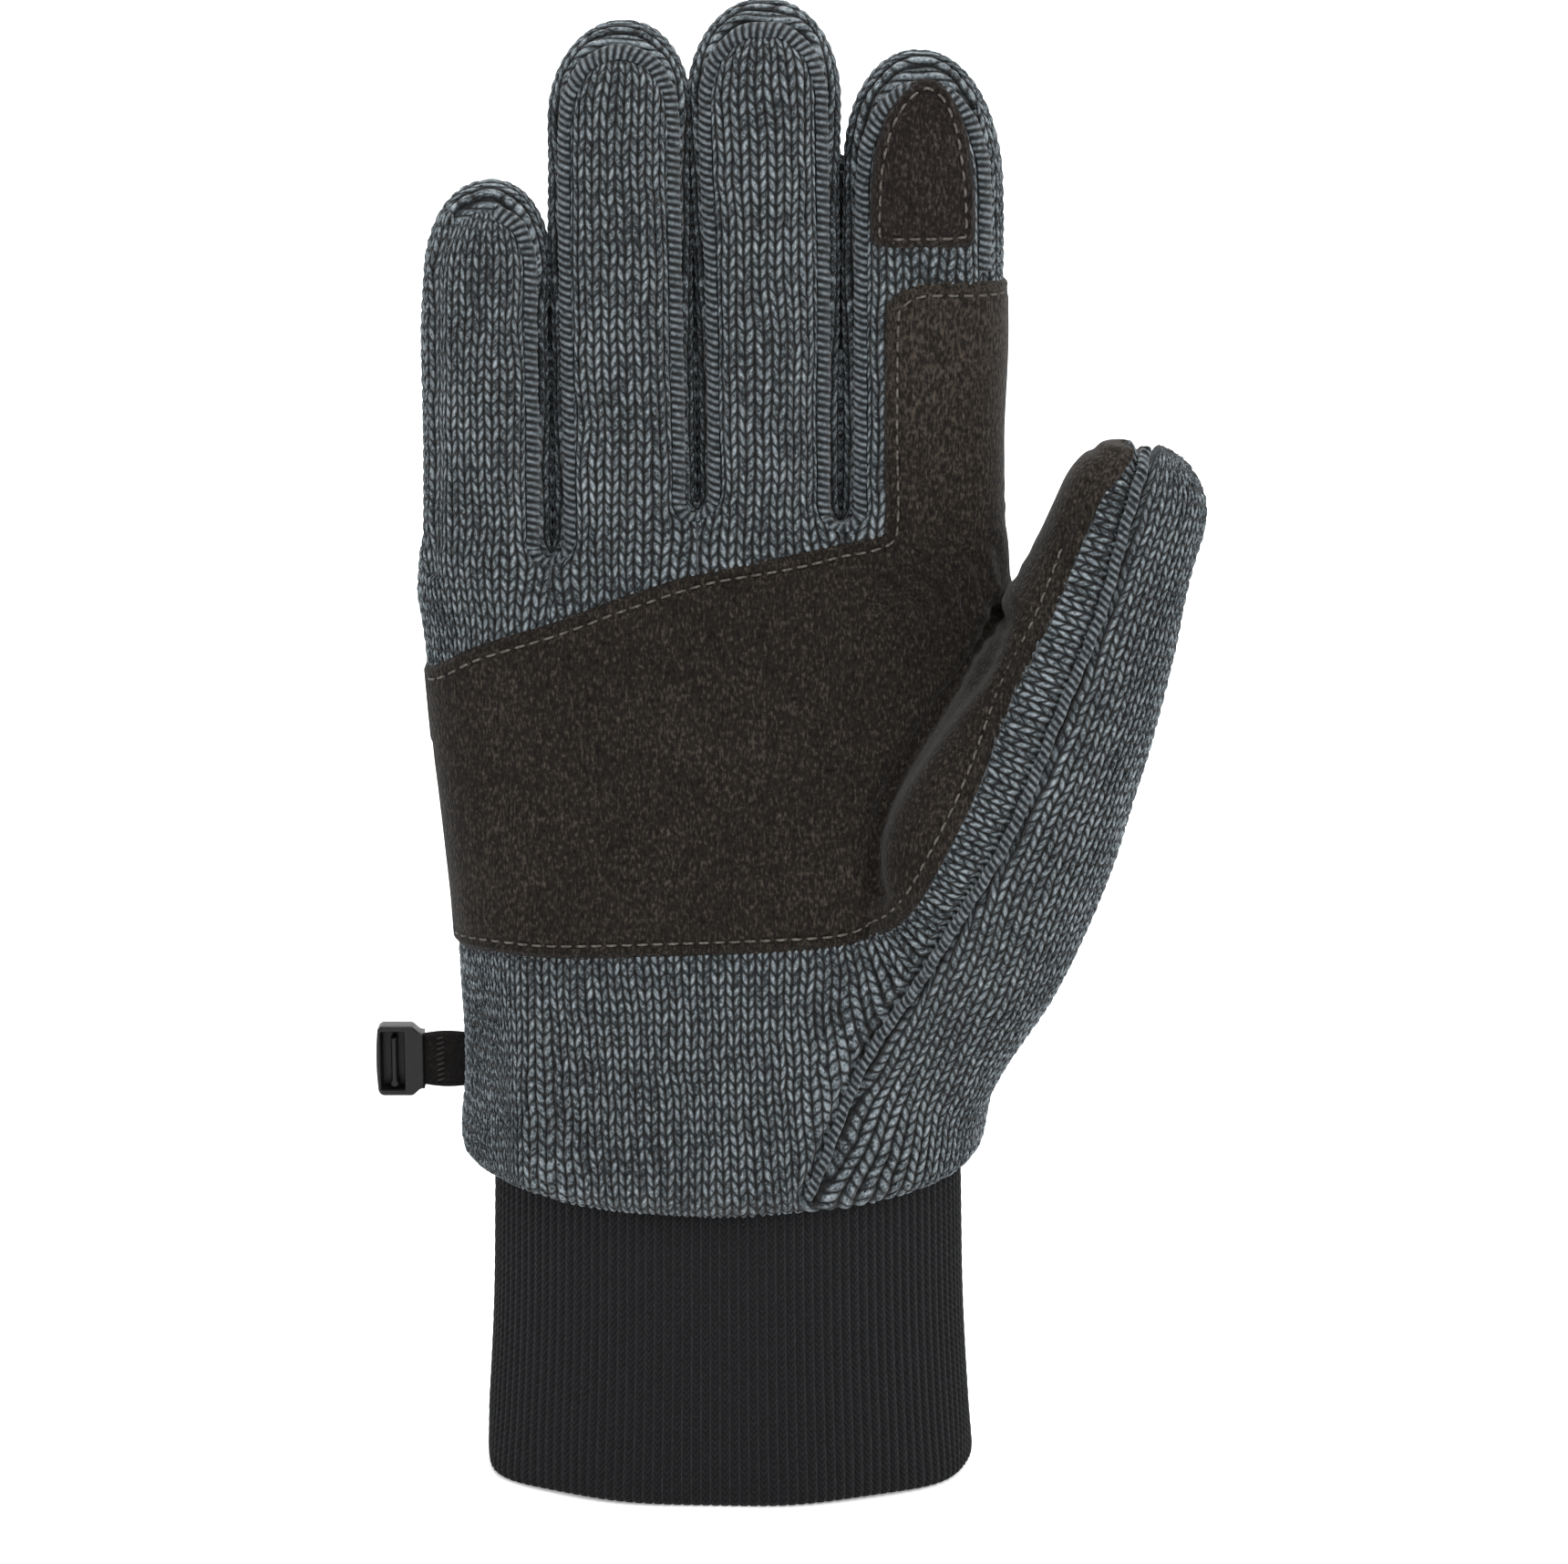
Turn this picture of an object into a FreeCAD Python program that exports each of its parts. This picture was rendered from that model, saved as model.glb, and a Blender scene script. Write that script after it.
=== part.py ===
"""Right-hand knitted touchscreen glove, standing on its cuff with the palm facing -Y.

+Z runs from the cuff to the fingertips, +X points to the thumb, and the origin is the middle
of the cuff's rim. Every sub-part is a solid of its own, bound to the sheet called "size".
"""

import FreeCAD, Part
import math
import os

import Sketcher

Vector = FreeCAD.Vector

# ---------------------------------------------------------------------------
# Driving dimensions, in millimetres and degrees.
# ---------------------------------------------------------------------------
SIZES = {
    # fabric
    "knit_wall": 2.2,  # sweater-knit shell
    "liner_wall": 1.4,  # fleece lining
    "suede_wall": 0.8,  # synthetic suede overlays
    "thread_rise": 0.35,  # sewing thread above the cloth
    "thread_width": 0.6,
    "stitch_inset": 2.4,  # stitch row from the edge of an overlay
    "seam_rise": 0.5,  # overlocked finger seams
    "seam_band": 3.0,
    "ridge_rise": 0.9,  # corded thumb seam
    "ridge_width": 2.4,
    "fold_gap": 0.3,  # slit left at every bending line
    "finger_gap": 0.6,  # air between neighbouring fingers
    # rib-knit cuff
    "cuff_height": 63.0,
    "cuff_half_width": 47.4,
    "cuff_half_depth": 26.0,
    "cuff_top_half_width": 44.6,
    "cuff_top_half_depth": 24.6,
    "cuff_wall": 2.6,  # two layers, folded at the rim
    "cuff_seam_width": 4.0,
    "cuff_seam_rise": 0.8,
    "join_height": 3.0,
    "join_depth": 4.2,
    "label_width": 12.0,
    "label_height": 22.0,
    "label_thickness": 0.5,
    # body of the hand: left side, right side and depth at five heights
    "hem_z": 60.0,
    "hem_left": 48.8,
    "hem_right": 47.0,
    "hem_depth": 58.0,
    "bulge_z": 70.0,
    "bulge_left": 50.7,
    "bulge_right": 47.6,
    "bulge_depth": 57.0,
    "heel_z": 105.0,
    "heel_left": 51.0,
    "heel_right": 49.0,
    "heel_depth": 49.0,
    "mid_z": 145.0,
    "mid_left": 54.6,
    "mid_right": 50.4,
    "mid_depth": 36.0,
    "knuckle_z": 194.0,
    "knuckle_left": 56.6,
    "knuckle_right": 50.8,
    "knuckle_depth": 26.0,
    # fingers: right-hand edge, bending line and tip of each, thickness of all
    "finger_depth": 25.0,
    "finger_taper": 0.97,
    "panel_split": 6.5,  # front and back panels start this far from the middle
    "little_right": -32.3,
    "little_fold_z": 181.0,
    "little_tip_z": 250.0,
    "ring_right": -5.2,
    "ring_fold_z": 186.0,
    "ring_tip_z": 279.0,
    "middle_right": 21.2,
    "middle_fold_z": 190.0,
    "middle_tip_z": 283.0,
    "index_fold_z": 187.0,
    "index_tip_z": 273.5,
    # thumb, in a frame that leans to the right
    "thumb_base_x": 41.0,
    "thumb_base_y": -9.0,
    "thumb_base_z": 100.0,
    "thumb_lean": 20.7,
    "thumb_low_z": -24.0,
    "thumb_low_half_width": 16.5,
    "thumb_root_z": 12.0,
    "thumb_root_half_width": 18.8,
    "thumb_fold_z": 69.0,
    "thumb_fold_half_width": 14.0,
    "thumb_tip_z": 110.0,
    "thumb_tip_half_width": 12.8,
    "thumb_flatness": 0.95,  # depth over width
    # suede overlays
    "overlay_bottom_z": 108.0,
    "overlay_side_top_z": 158.0,
    "overlay_top_z": 186.6,
    "overlay_index_x": 29.4,
    "overlay_index_top_z": 232.5,
    "overlay_side_y": -3.0,
    "overlay_thumb_low": -10.6,
    "overlay_thumb_high": -4.0,
    "overlay_corner_z": 114.0,
    # touch patch
    "patch_half_width": 8.6,
    "patch_bottom_z": 239.0,
    "patch_top_z": 268.5,
    # thumb seam
    "seam_hem_x": 15.0,
    "seam_turn_offset": -4.0,
    "seam_turn_z": 18.0,
    "seam_straight_z": 42.0,
    "seam_straight_offset": 0.9,
    "thumb_split_y": -8.2,  # plane between front and back panel of the thumb
    # webbing and clip
    "strap_z": 81.8,
    "strap_width": 10.5,
    "strap_thickness": 1.6,
    "strap_root_length": 1.6,
    "strap_length": 5.3,
    "clip_length": 8.8,
    "clip_height": 15.2,
    "clip_thickness": 4.2,
    "clip_window": 5.0,
    "clip_bar": 1.3,
    "clip_rail": 2.0,
    "clip_corner": 1.2,
    "gate_thickness": 1.3,
    "gate_clearance": 0.2,
}

FINGERS = ("little", "ring", "middle", "index")
FOURCHETTE_SIDES = {"little": ("right",), "ring": ("left", "right"),
                    "middle": ("left", "right"), "index": ("left",)}
FAR = 400.0  # reach of the helper boxes that only trim

document = FreeCAD.newDocument("TouchscreenGlove")
sheet = document.addObject("Spreadsheet::Sheet", "size")
for row, (alias, value) in enumerate(SIZES.items(), start=1):
    sheet.set(f"A{row}", str(value))
    sheet.setAlias(f"A{row}", alias)
document.recompute()

NODES = []


# ---------------------------------------------------------------------------
# Helpers. Expressions are texts; a bare size name is turned into size.NAME.
# ---------------------------------------------------------------------------
def bound(expression):
    """An expression in which every size name is read from the sheet."""
    words = []
    word = ""
    for letter in str(expression) + " ":
        if letter.isalnum() or letter == "_":
            word += letter
            continue
        words.append(f"size.{word}" if word in SIZES else word)
        words.append(letter)
        word = ""
    return "".join(words).strip()


def number(expression):
    """The present value of an expression."""
    value = sheet.evalExpression(bound(expression))
    return float(getattr(value, "Value", value))


def add(kind, name):
    """A new object of the document."""
    return document.addObject(kind, name)


def set_sizes(item, **properties):
    """Bind properties of an object to expressions; double underscores stand for dots."""
    for path, expression in properties.items():
        item.setExpression(path.replace("__", "."), bound(expression))
    return item


def node(item, name):
    """Mark an object as a finished sub-part."""
    item.Label = name
    NODES.append(item)
    return item


def box(name, left, right, front, back, bottom, top):
    """A box between six bound planes."""
    item = add("Part::Box", name)
    return set_sizes(
        item,
        Length=f"({right}) - ({left})",
        Width=f"({back}) - ({front})",
        Height=f"({top}) - ({bottom})",
        Placement__Base__x=left,
        Placement__Base__y=front,
        Placement__Base__z=bottom,
    )


def cut(name, base, tool):
    """Base without tool."""
    item = add("Part::Cut", name)
    item.Base = base
    item.Tool = tool
    return item


def common(name, base, tool):
    """What base and tool share."""
    item = add("Part::Common", name)
    item.Base = base
    item.Tool = tool
    return item


def fuse(name, *pieces):
    """All pieces as one."""
    item = add("Part::MultiFuse", name)
    item.Shapes = list(pieces)
    return item


def ellipse(name, half_width, half_depth, x, y, z):
    """A level elliptical section; it stays valid whichever half axis is longer."""
    item = add("Part::Ellipse", name)
    return set_sizes(
        item,
        MajorRadius=f"max({half_width}; {half_depth})",
        MinorRadius=f"min({half_width}; {half_depth})",
        Placement__Rotation__Angle=f"({half_width}) < ({half_depth}) ? 90 deg : 0 deg",
        Placement__Base__x=x,
        Placement__Base__y=y,
        Placement__Base__z=z,
    )


def loft(name, sections, ruled=False):
    """A solid through closed sections."""
    item = add("Part::Loft", name)
    item.Sections = sections
    item.Solid = True
    item.Ruled = ruled
    return item


def dome(name, height, half_width, half_depth, x, y, z):
    """The upper half of an ellipsoid that stands on the section at (x, y, z)."""
    item = add("Part::Ellipsoid", name)
    item.Angle1 = 0
    item.Angle2 = 90
    return set_sizes(item, Radius1=height, Radius2=half_width, Radius3=half_depth,
                     Placement__Base__x=x, Placement__Base__y=y, Placement__Base__z=z)


def stadium(name, left, right, depth, z):
    """A level section with straight front and back and round ends."""
    sketch = add("Sketcher::SketchObject", name)
    sketch.setExpression("Placement.Base.z", bound(z))
    radius = number(f"({depth}) / 2")
    low = number(left) + radius
    high = number(right) - radius
    up = Vector(0, 0, 1)
    sketch.addGeometry(Part.LineSegment(Vector(low, -radius, 0), Vector(high, -radius, 0)))
    sketch.addGeometry(Part.ArcOfCircle(Part.Circle(Vector(high, 0, 0), up, radius),
                                        -math.pi / 2, math.pi / 2))
    sketch.addGeometry(Part.LineSegment(Vector(high, radius, 0), Vector(low, radius, 0)))
    sketch.addGeometry(Part.ArcOfCircle(Part.Circle(Vector(low, 0, 0), up, radius),
                                        math.pi / 2, 3 * math.pi / 2))
    for first, next_one in ((0, 1), (1, 2), (2, 3), (3, 0)):
        sketch.addConstraint(Sketcher.Constraint("Tangent", first, 2, next_one, 1))
    sketch.addConstraint(Sketcher.Constraint("PointOnObject", 1, 3, -1))
    sketch.addConstraint(Sketcher.Constraint("PointOnObject", 3, 3, -1))
    wanted = (
        (Sketcher.Constraint("Radius", 1, radius), f"({depth}) / 2"),
        (Sketcher.Constraint("DistanceX", -1, 1, 1, 3, high), f"({right}) - ({depth}) / 2"),
        (Sketcher.Constraint("DistanceX", -1, 1, 3, 3, low), f"({left}) + ({depth}) / 2"),
    )
    for constraint, expression in wanted:
        place = sketch.addConstraint(constraint)
        sketch.setExpression(f"Constraints[{place}]", bound(expression))
    return sketch


def prism(name, points, front, back):
    """An outline of (x, z) corners, drawn facing the palm, made solid from front to back."""
    sketch = add("Sketcher::SketchObject", name + "_outline")
    sketch.Placement = FreeCAD.Placement(Vector(0, 0, 0), FreeCAD.Rotation(Vector(1, 0, 0), 90))
    sketch.setExpression("Placement.Base.y", bound(front))
    corners = [Vector(number(x), number(z), 0) for x, z in points]
    count = len(corners)
    for here in range(count):
        sketch.addGeometry(Part.LineSegment(corners[here], corners[(here + 1) % count]))
    for here in range(count):
        sketch.addConstraint(Sketcher.Constraint("Coincident", here, 2, (here + 1) % count, 1))
    for here, (x, z) in enumerate(points):
        for kind, expression in (("DistanceX", x), ("DistanceY", z)):
            start = number(expression)
            place = sketch.addConstraint(Sketcher.Constraint(kind, -1, 1, here, 1, start))
            sketch.setExpression(f"Constraints[{place}]", bound(expression))
    item = add("Part::Extrusion", name)
    item.Base = sketch
    item.DirMode = "Custom"
    item.Dir = Vector(0, 1, 0)
    item.Solid = True
    item.setExpression("LengthFwd", bound(f"({back}) - ({front})"))
    return item


def strip(name, line, width, along, front, back):
    """A prism that follows a line of (x, z) points, widened along x or along z."""
    half = f"({width}) / 2"
    if along == "x":
        one = [(f"{x} - {half}", z) for x, z in line]
        other = [(f"{x} + {half}", z) for x, z in line]
    else:
        one = [(x, f"{z} - {half}") for x, z in line]
        other = [(x, f"{z} + {half}") for x, z in line]
    return prism(name, one + other[::-1], front, back)


def thumb_point(across, up):
    """A point of the leaning thumb frame as (x, z) in the frame of the glove."""
    turn = "(thumb_lean * 1 deg)"
    x = f"(thumb_base_x + ({across}) * cos{turn} + ({up}) * sin{turn})"
    z = f"(thumb_base_z - ({across}) * sin{turn} + ({up}) * cos{turn})"
    return x, z


# ---------------------------------------------------------------------------
# Sleeves: solid bodies of the hand, the fingers and the thumb at a given offset
# from the outside of the knit.
# ---------------------------------------------------------------------------
def hand_body(name, offset):
    """The body of the hand between hem and knuckles, grown by offset."""
    sections = []
    for level in ("hem", "bulge", "heel", "mid", "knuckle"):
        sections.append(stadium(
            f"{name}_{level}",
            f"-{level}_left - ({offset})",
            f"{level}_right + ({offset})",
            f"{level}_depth + 2 * ({offset})",
            f"{level}_z",
        ))
    return loft(name, sections)


def lean(item, x, z):
    """Turn an object into the thumb's frame and put its origin at (x, z)."""
    item.Placement.Rotation = FreeCAD.Rotation(Vector(0, 1, 0), number("thumb_lean"))
    return set_sizes(item, Placement__Base__x=x, Placement__Base__y="thumb_base_y",
                     Placement__Base__z=z, Placement__Rotation__Angle="thumb_lean * 1 deg")


def thumb_body(name, offset):
    """The whole thumb in its leaning frame, closed at the tip, grown by offset."""
    shoulder = "(thumb_tip_z - thumb_tip_half_width)"
    top_half = f"(thumb_tip_half_width + ({offset}))"
    levels = [(f"thumb_{spot}_z", f"(thumb_{spot}_half_width + ({offset}))")
              for spot in ("low", "root", "fold")]
    levels.append((shoulder, top_half))
    sections = [ellipse(f"{name}_{step}", half, f"{half} * thumb_flatness", 0, 0, up)
                for step, (up, half) in enumerate(levels)]
    tube = lean(loft(f"{name}_tube", sections), "thumb_base_x", "thumb_base_z")
    x, z = thumb_point("0", shoulder)
    tip = dome(f"{name}_tip", top_half, top_half, f"{top_half} * thumb_flatness", x, 0, z)
    return fuse(name, tube, lean(tip, x, z))


def finger_edges(finger):
    """Left and right edge of a finger, with the air between neighbours taken off."""
    place = FINGERS.index(finger)
    left = "-knuckle_left" if place == 0 else f"({FINGERS[place - 1]}_right + finger_gap)"
    right = "knuckle_right" if finger == "index" else f"{finger}_right"
    return left, right


def finger_body(finger, name, offset):
    """A finger from its bending line to its tip, grown by offset."""
    left, right = finger_edges(finger)
    middle = f"(({left}) + ({right})) / 2"
    base_half = f"((({right}) - ({left})) / 2 + ({offset}))"
    base_depth = f"(finger_depth / 2 + ({offset}))"
    half = f"((({right}) - ({left})) / 2 * finger_taper + ({offset}))"
    depth = f"(finger_depth / 2 * finger_taper + ({offset}))"
    shoulder = f"({finger}_tip_z - (({right}) - ({left})) / 2 * finger_taper)"
    bottom = f"({finger}_fold_z + fold_gap)"
    low = ellipse(f"{name}_low", base_half, base_depth, middle, 0, bottom)
    high = ellipse(f"{name}_high", half, depth, middle, 0, shoulder)
    tube = loft(f"{name}_tube", [low, high], ruled=True)
    tip = dome(f"{name}_tip", half, half, depth, middle, 0, shoulder)
    return fuse(name, tube, tip)


# ---------------------------------------------------------------------------
# Trimming tools shared by the layers.
# ---------------------------------------------------------------------------
def finger_room():
    """Everything above the bending lines of the four fingers."""
    blocks = []
    for finger in FINGERS:
        left, right = finger_edges(finger)
        if finger == "little":
            left = f"-{FAR}"
        if finger == "index":
            right = f"{FAR}"
        else:
            right = f"({right}) + finger_gap"
        blocks.append(box(f"room_{finger}", left, right, -FAR, FAR, f"{finger}_fold_z", FAR))
    return fuse("finger_room", *blocks)


def thumb_block(name, bottom, top):
    """A block square to the thumb between two heights of its frame."""
    item = add("Part::Box", name)
    item.Placement.Rotation = FreeCAD.Rotation(Vector(0, 1, 0), number("thumb_lean"))
    turn = "(thumb_lean * 1 deg)"
    half = FAR / 4
    return set_sizes(
        item,
        Length=2 * half,
        Width=2 * half,
        Height=f"({top}) - ({bottom})",
        Placement__Rotation__Angle="thumb_lean * 1 deg",
        Placement__Base__x=f"thumb_base_x - {half} * cos{turn} + ({bottom}) * sin{turn}",
        Placement__Base__y=f"-{half}",
        Placement__Base__z=f"thumb_base_z + {half} * sin{turn} + ({bottom}) * cos{turn}",
    )


thumb_low_block = thumb_block("thumb_low_block", "thumb_low_z - 1", "thumb_fold_z")
thumb_free_block = thumb_block("thumb_free_block", "thumb_fold_z + fold_gap",
                               "thumb_tip_z + 10")
room_above_fingers = finger_room()

LAYERS = {
    "skin": "0",
    "inside_knit": "-knit_wall",
    "inside_liner": "-knit_wall - liner_wall",
    "suede": "suede_wall",
    "suede_thread": "suede_wall + thread_rise",
    "ridge": "ridge_rise",
}
hand_layers = {}
thumb_layers = {}
for layer, offset in LAYERS.items():
    thumb = thumb_body(f"thumb_{layer}", offset)
    lower_thumb = common(f"thumb_low_{layer}", thumb, thumb_low_block)
    palm = cut(f"palm_{layer}", hand_body(f"hand_{layer}", offset), room_above_fingers)
    hand_layers[layer] = fuse(f"hand_whole_{layer}", palm, lower_thumb)
    thumb_layers[layer] = common(f"thumb_free_{layer}", thumb, thumb_free_block)

# The thumb seam runs up from the hem, turns into the thumb and follows it to the tip.
THUMB_SEAM = [
    ("seam_hem_x", "hem_z - 5"),
    thumb_point("seam_turn_offset", "seam_turn_z"),
    thumb_point("seam_straight_offset", "seam_straight_z"),
    thumb_point("seam_straight_offset", "thumb_tip_z + 5"),
]


def palm_side():
    """Everything in front of the side seam and left of the thumb seam."""
    corners = [("-200", "hem_z - 5")] + THUMB_SEAM + [("-200", f"{FAR}")]
    return prism("palm_side", corners, -FAR / 2, 0)


# ---------------------------------------------------------------------------
# Knitted shell and lining of the hand.
# ---------------------------------------------------------------------------
in_front = palm_side()


def hand_shell():
    """Palm and back panels of the knitted shell."""
    shell = cut("hand_shell", hand_layers["skin"], hand_layers["inside_knit"])
    node(common("palm_knit_panel", shell, in_front), "palm_knit_panel")
    node(cut("back_knit_panel", shell, in_front), "back_knit_panel")


def hand_lining():
    """Fleece lining of the hand, from the cuff seam to the bending lines."""
    lining = cut("hand_lining_whole", hand_layers["inside_knit"], hand_layers["inside_liner"])
    above = box("above_join", -FAR, FAR, -FAR, FAR, "cuff_height + 2 * fold_gap + join_height", FAR)
    node(common("hand_liner", lining, above), "hand_liner")


def thumb_seam_ridge():
    """The corded ridge of the thumb seam, on the hand and on the free thumb."""
    band = strip("ridge_band", THUMB_SEAM, "ridge_width", "x", -FAR / 2, "thumb_base_y")
    for name, layers in (("thumb_seam_ridge", hand_layers), ("thumb_tip_seam_ridge", thumb_layers)):
        raised = common(f"{name}_raised", layers["ridge"], band)
        node(cut(name, raised, layers["skin"]), name)


# ---------------------------------------------------------------------------
# Suede overlays and their stitch rows.
# ---------------------------------------------------------------------------
OVERLAY_THUMB_EDGE = [
    thumb_point("overlay_thumb_low", "29"),
    thumb_point("overlay_thumb_high", "thumb_tip_z"),
]


def overlay_outline():
    """Corners of the suede on palm, index base and thumb."""
    return [
        ("-knuckle_left - 10", "overlay_bottom_z - 2"),
        ("-knuckle_left * 0.5", "overlay_bottom_z"),
        ("thumb_base_x * 0.5", "overlay_bottom_z + 2"),
        ("thumb_base_x * 0.75", "overlay_corner_z"),
    ] + OVERLAY_THUMB_EDGE + [
        ("overlay_index_x", f"{FAR / 1.5}"),
        ("overlay_index_x", "overlay_top_z"),
        ("0", "overlay_top_z * 0.3 + overlay_side_top_z * 0.7 + 14.5"),
        ("-knuckle_left - 1", "overlay_side_top_z"),
        ("-knuckle_left - 10", "overlay_side_top_z"),
    ]


def palm_overlay():
    """Suede on the palm and on the facing of the thumb, cut at the thumb's bending line."""
    region = prism("overlay_region", overlay_outline(), -FAR / 2, "overlay_side_y")
    for name, layers in (("palm_suede_overlay", hand_layers), ("thumb_suede_facing", thumb_layers)):
        skin = common(f"{name}_skin", layers["suede"], region)
        node(cut(name, skin, layers["skin"]), name)


def overlay_stitching():
    """Stitch rows just inside the edges of the palm overlay and of the thumb facing."""
    inset = "stitch_inset"
    top = strip("row_top", [
        ("-knuckle_left + 6", f"overlay_side_top_z + 1.2 - {inset}"),
        ("0", f"overlay_top_z * 0.3 + overlay_side_top_z * 0.7 + 14.5 - {inset}"),
        ("overlay_index_x", f"overlay_top_z - {inset}"),
    ], "thread_width", "z", -FAR / 2, 0)
    bottom = strip("row_bottom", [
        ("-knuckle_left + 8", f"overlay_bottom_z + {inset} - 1"),
        ("-knuckle_left * 0.5", f"overlay_bottom_z + {inset}"),
        ("thumb_base_x * 0.5", f"overlay_bottom_z + 2 + {inset}"),
    ], "thread_width", "z", -FAR / 2, 0)
    edge = strip("row_thumb", [
        thumb_point(f"overlay_thumb_low - {inset}", "31"),
        thumb_point(f"overlay_thumb_high - {inset}", "thumb_tip_z - 4"),
    ], "thread_width", "x", -FAR / 2, "thumb_base_y")
    rows = fuse("overlay_rows", top, bottom, edge)
    raised = common("palm_rows_raised", hand_layers["suede_thread"], rows)
    node(cut("palm_overlay_stitching", raised, hand_layers["suede"]), "palm_overlay_stitching")
    raised = common("thumb_row_raised", thumb_layers["suede_thread"], edge)
    node(cut("thumb_facing_stitching", raised, thumb_layers["suede"]), "thumb_facing_stitching")


# ---------------------------------------------------------------------------
# Free thumb.
# ---------------------------------------------------------------------------
def thumb_panels():
    """Front and back panels and the lining of the thumb above its bending line."""
    shell = cut("thumb_shell", thumb_layers["skin"], thumb_layers["inside_knit"])
    front = prism("thumb_front_side", [("-200", "hem_z - 5")] + THUMB_SEAM + [("-200", f"{FAR}")],
                  -FAR / 2, "thumb_split_y")
    node(common("thumb_front_panel", shell, front), "thumb_front_panel")
    node(cut("thumb_back_panel", shell, front), "thumb_back_panel")
    node(cut("thumb_liner", thumb_layers["inside_knit"], thumb_layers["inside_liner"]),
         "thumb_liner")


# ---------------------------------------------------------------------------
# Fingers.
# ---------------------------------------------------------------------------
def finger_panels(finger):
    """Front panel, back panel, side strips, lining and overlocked edge seam of one finger."""
    left, right = finger_edges(finger)
    middle = f"(({left}) + ({right})) / 2"
    skin = finger_body(finger, f"{finger}_skin", "0")
    inside = finger_body(finger, f"{finger}_inside", "-knit_wall")
    hollow = finger_body(finger, f"{finger}_hollow", "-knit_wall - liner_wall")
    seam_skin = finger_body(finger, f"{finger}_seam_skin", "seam_rise")
    shell = cut(f"{finger}_shell", skin, inside)
    node(cut(f"{finger}_liner", inside, hollow), f"{finger}_liner")

    fronts = [box(f"{finger}_front_room", -FAR, FAR, -FAR, "-panel_split", 0, FAR)]
    backs = [box(f"{finger}_back_room", -FAR, FAR, "panel_split", FAR, 0, FAR)]
    halves = {"left": (f"-{FAR}", middle), "right": (middle, f"{FAR}")}
    for side, (start, end) in halves.items():
        if side in FOURCHETTE_SIDES[finger]:
            room = box(f"{finger}_{side}_room", start, end, "-panel_split", "panel_split", 0, FAR)
            name = f"{finger}_{side}_fourchette"
            node(common(name, shell, room), name)
            continue
        fronts.append(box(f"{finger}_front_{side}", start, end, "-panel_split", 0, 0, FAR))
        backs.append(box(f"{finger}_back_{side}", start, end, 0, "panel_split", 0, FAR))
    for name, rooms in (("front", fronts), ("back", backs)):
        room = fuse(f"{finger}_{name}_rooms", *rooms) if len(rooms) > 1 else rooms[0]
        node(common(f"{finger}_{name}_panel", shell, room), f"{finger}_{name}_panel")

    band = box(f"{finger}_band", -FAR, FAR, "-panel_split - seam_band / 2",
               "-panel_split + seam_band / 2", 0, FAR)
    raised = common(f"{finger}_seam_raised", seam_skin, band)
    node(cut(f"{finger}_edge_seam", raised, skin), f"{finger}_edge_seam")
    return skin


def patch_shape(name, inset):
    """The touch patch seen from the front: square at the bottom, round at the top."""
    left, right = finger_edges("index")
    middle = f"(({left}) + ({right})) / 2"
    half = f"(patch_half_width - ({inset}))"
    round_z = "(patch_top_z - patch_half_width)"
    lower = box(f"{name}_lower", f"{middle} - {half}", f"{middle} + {half}", -FAR / 2,
                "-panel_split", f"patch_bottom_z + ({inset})", round_z)
    upper = add("Part::Cylinder", f"{name}_upper")
    upper.Placement.Rotation = FreeCAD.Rotation(Vector(1, 0, 0), 90)
    set_sizes(upper, Radius=half, Height=f"{FAR / 2} - panel_split", Placement__Base__x=middle,
              Placement__Base__y="-panel_split", Placement__Base__z=round_z)
    return fuse(name, lower, upper)


def index_suede(skin):
    """Touch patch and suede overlay of the index finger with their stitch rows."""
    seam = document.getObject("index_edge_seam")
    suede = finger_body("index", "index_suede", "suede_wall")
    thread = finger_body("index", "index_thread", "suede_wall + thread_rise")
    patch = common("patch_skin", suede, patch_shape("patch_outline", "0"))
    patch = cut("patch_on_knit", patch, skin)
    node(cut("index_touch_patch", patch, seam), "index_touch_patch")
    row = cut("patch_row", patch_shape("patch_row_outer", "stitch_inset - thread_width"),
              patch_shape("patch_row_inner", "stitch_inset"))
    raised = common("patch_row_raised", thread, row)
    node(cut("touch_patch_stitching", raised, suede), "touch_patch_stitching")

    left, right = finger_edges("index")
    room = box("index_overlay_room", "overlay_index_x", FAR, -FAR, "overlay_side_y", 0,
               "overlay_index_top_z")
    cloth = cut("index_overlay_cloth", common("index_overlay_skin", suede, room), skin)
    node(cut("index_suede_overlay", cloth, seam), "index_suede_overlay")
    row = box("index_overlay_row", "overlay_index_x + stitch_inset", f"({right}) - stitch_inset",
              -FAR, "-panel_split", "overlay_index_top_z - stitch_inset - thread_width",
              "overlay_index_top_z - stitch_inset")
    raised = common("index_row_raised", thread, row)
    node(cut("index_overlay_stitching", raised, suede), "index_overlay_stitching")


# ---------------------------------------------------------------------------
# Rib cuff, its seams and the label.
# ---------------------------------------------------------------------------
def cuff_body(name, inset):
    """The slightly flared tube of the cuff, shrunk by inset."""
    low = ellipse(f"{name}_low", f"cuff_half_width - ({inset})", f"cuff_half_depth - ({inset})",
                  0, 0, 0)
    high = ellipse(f"{name}_high", f"cuff_top_half_width - ({inset})",
                   f"cuff_top_half_depth - ({inset})", 0, 0, "cuff_height")
    return loft(name, [low, high])


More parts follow.
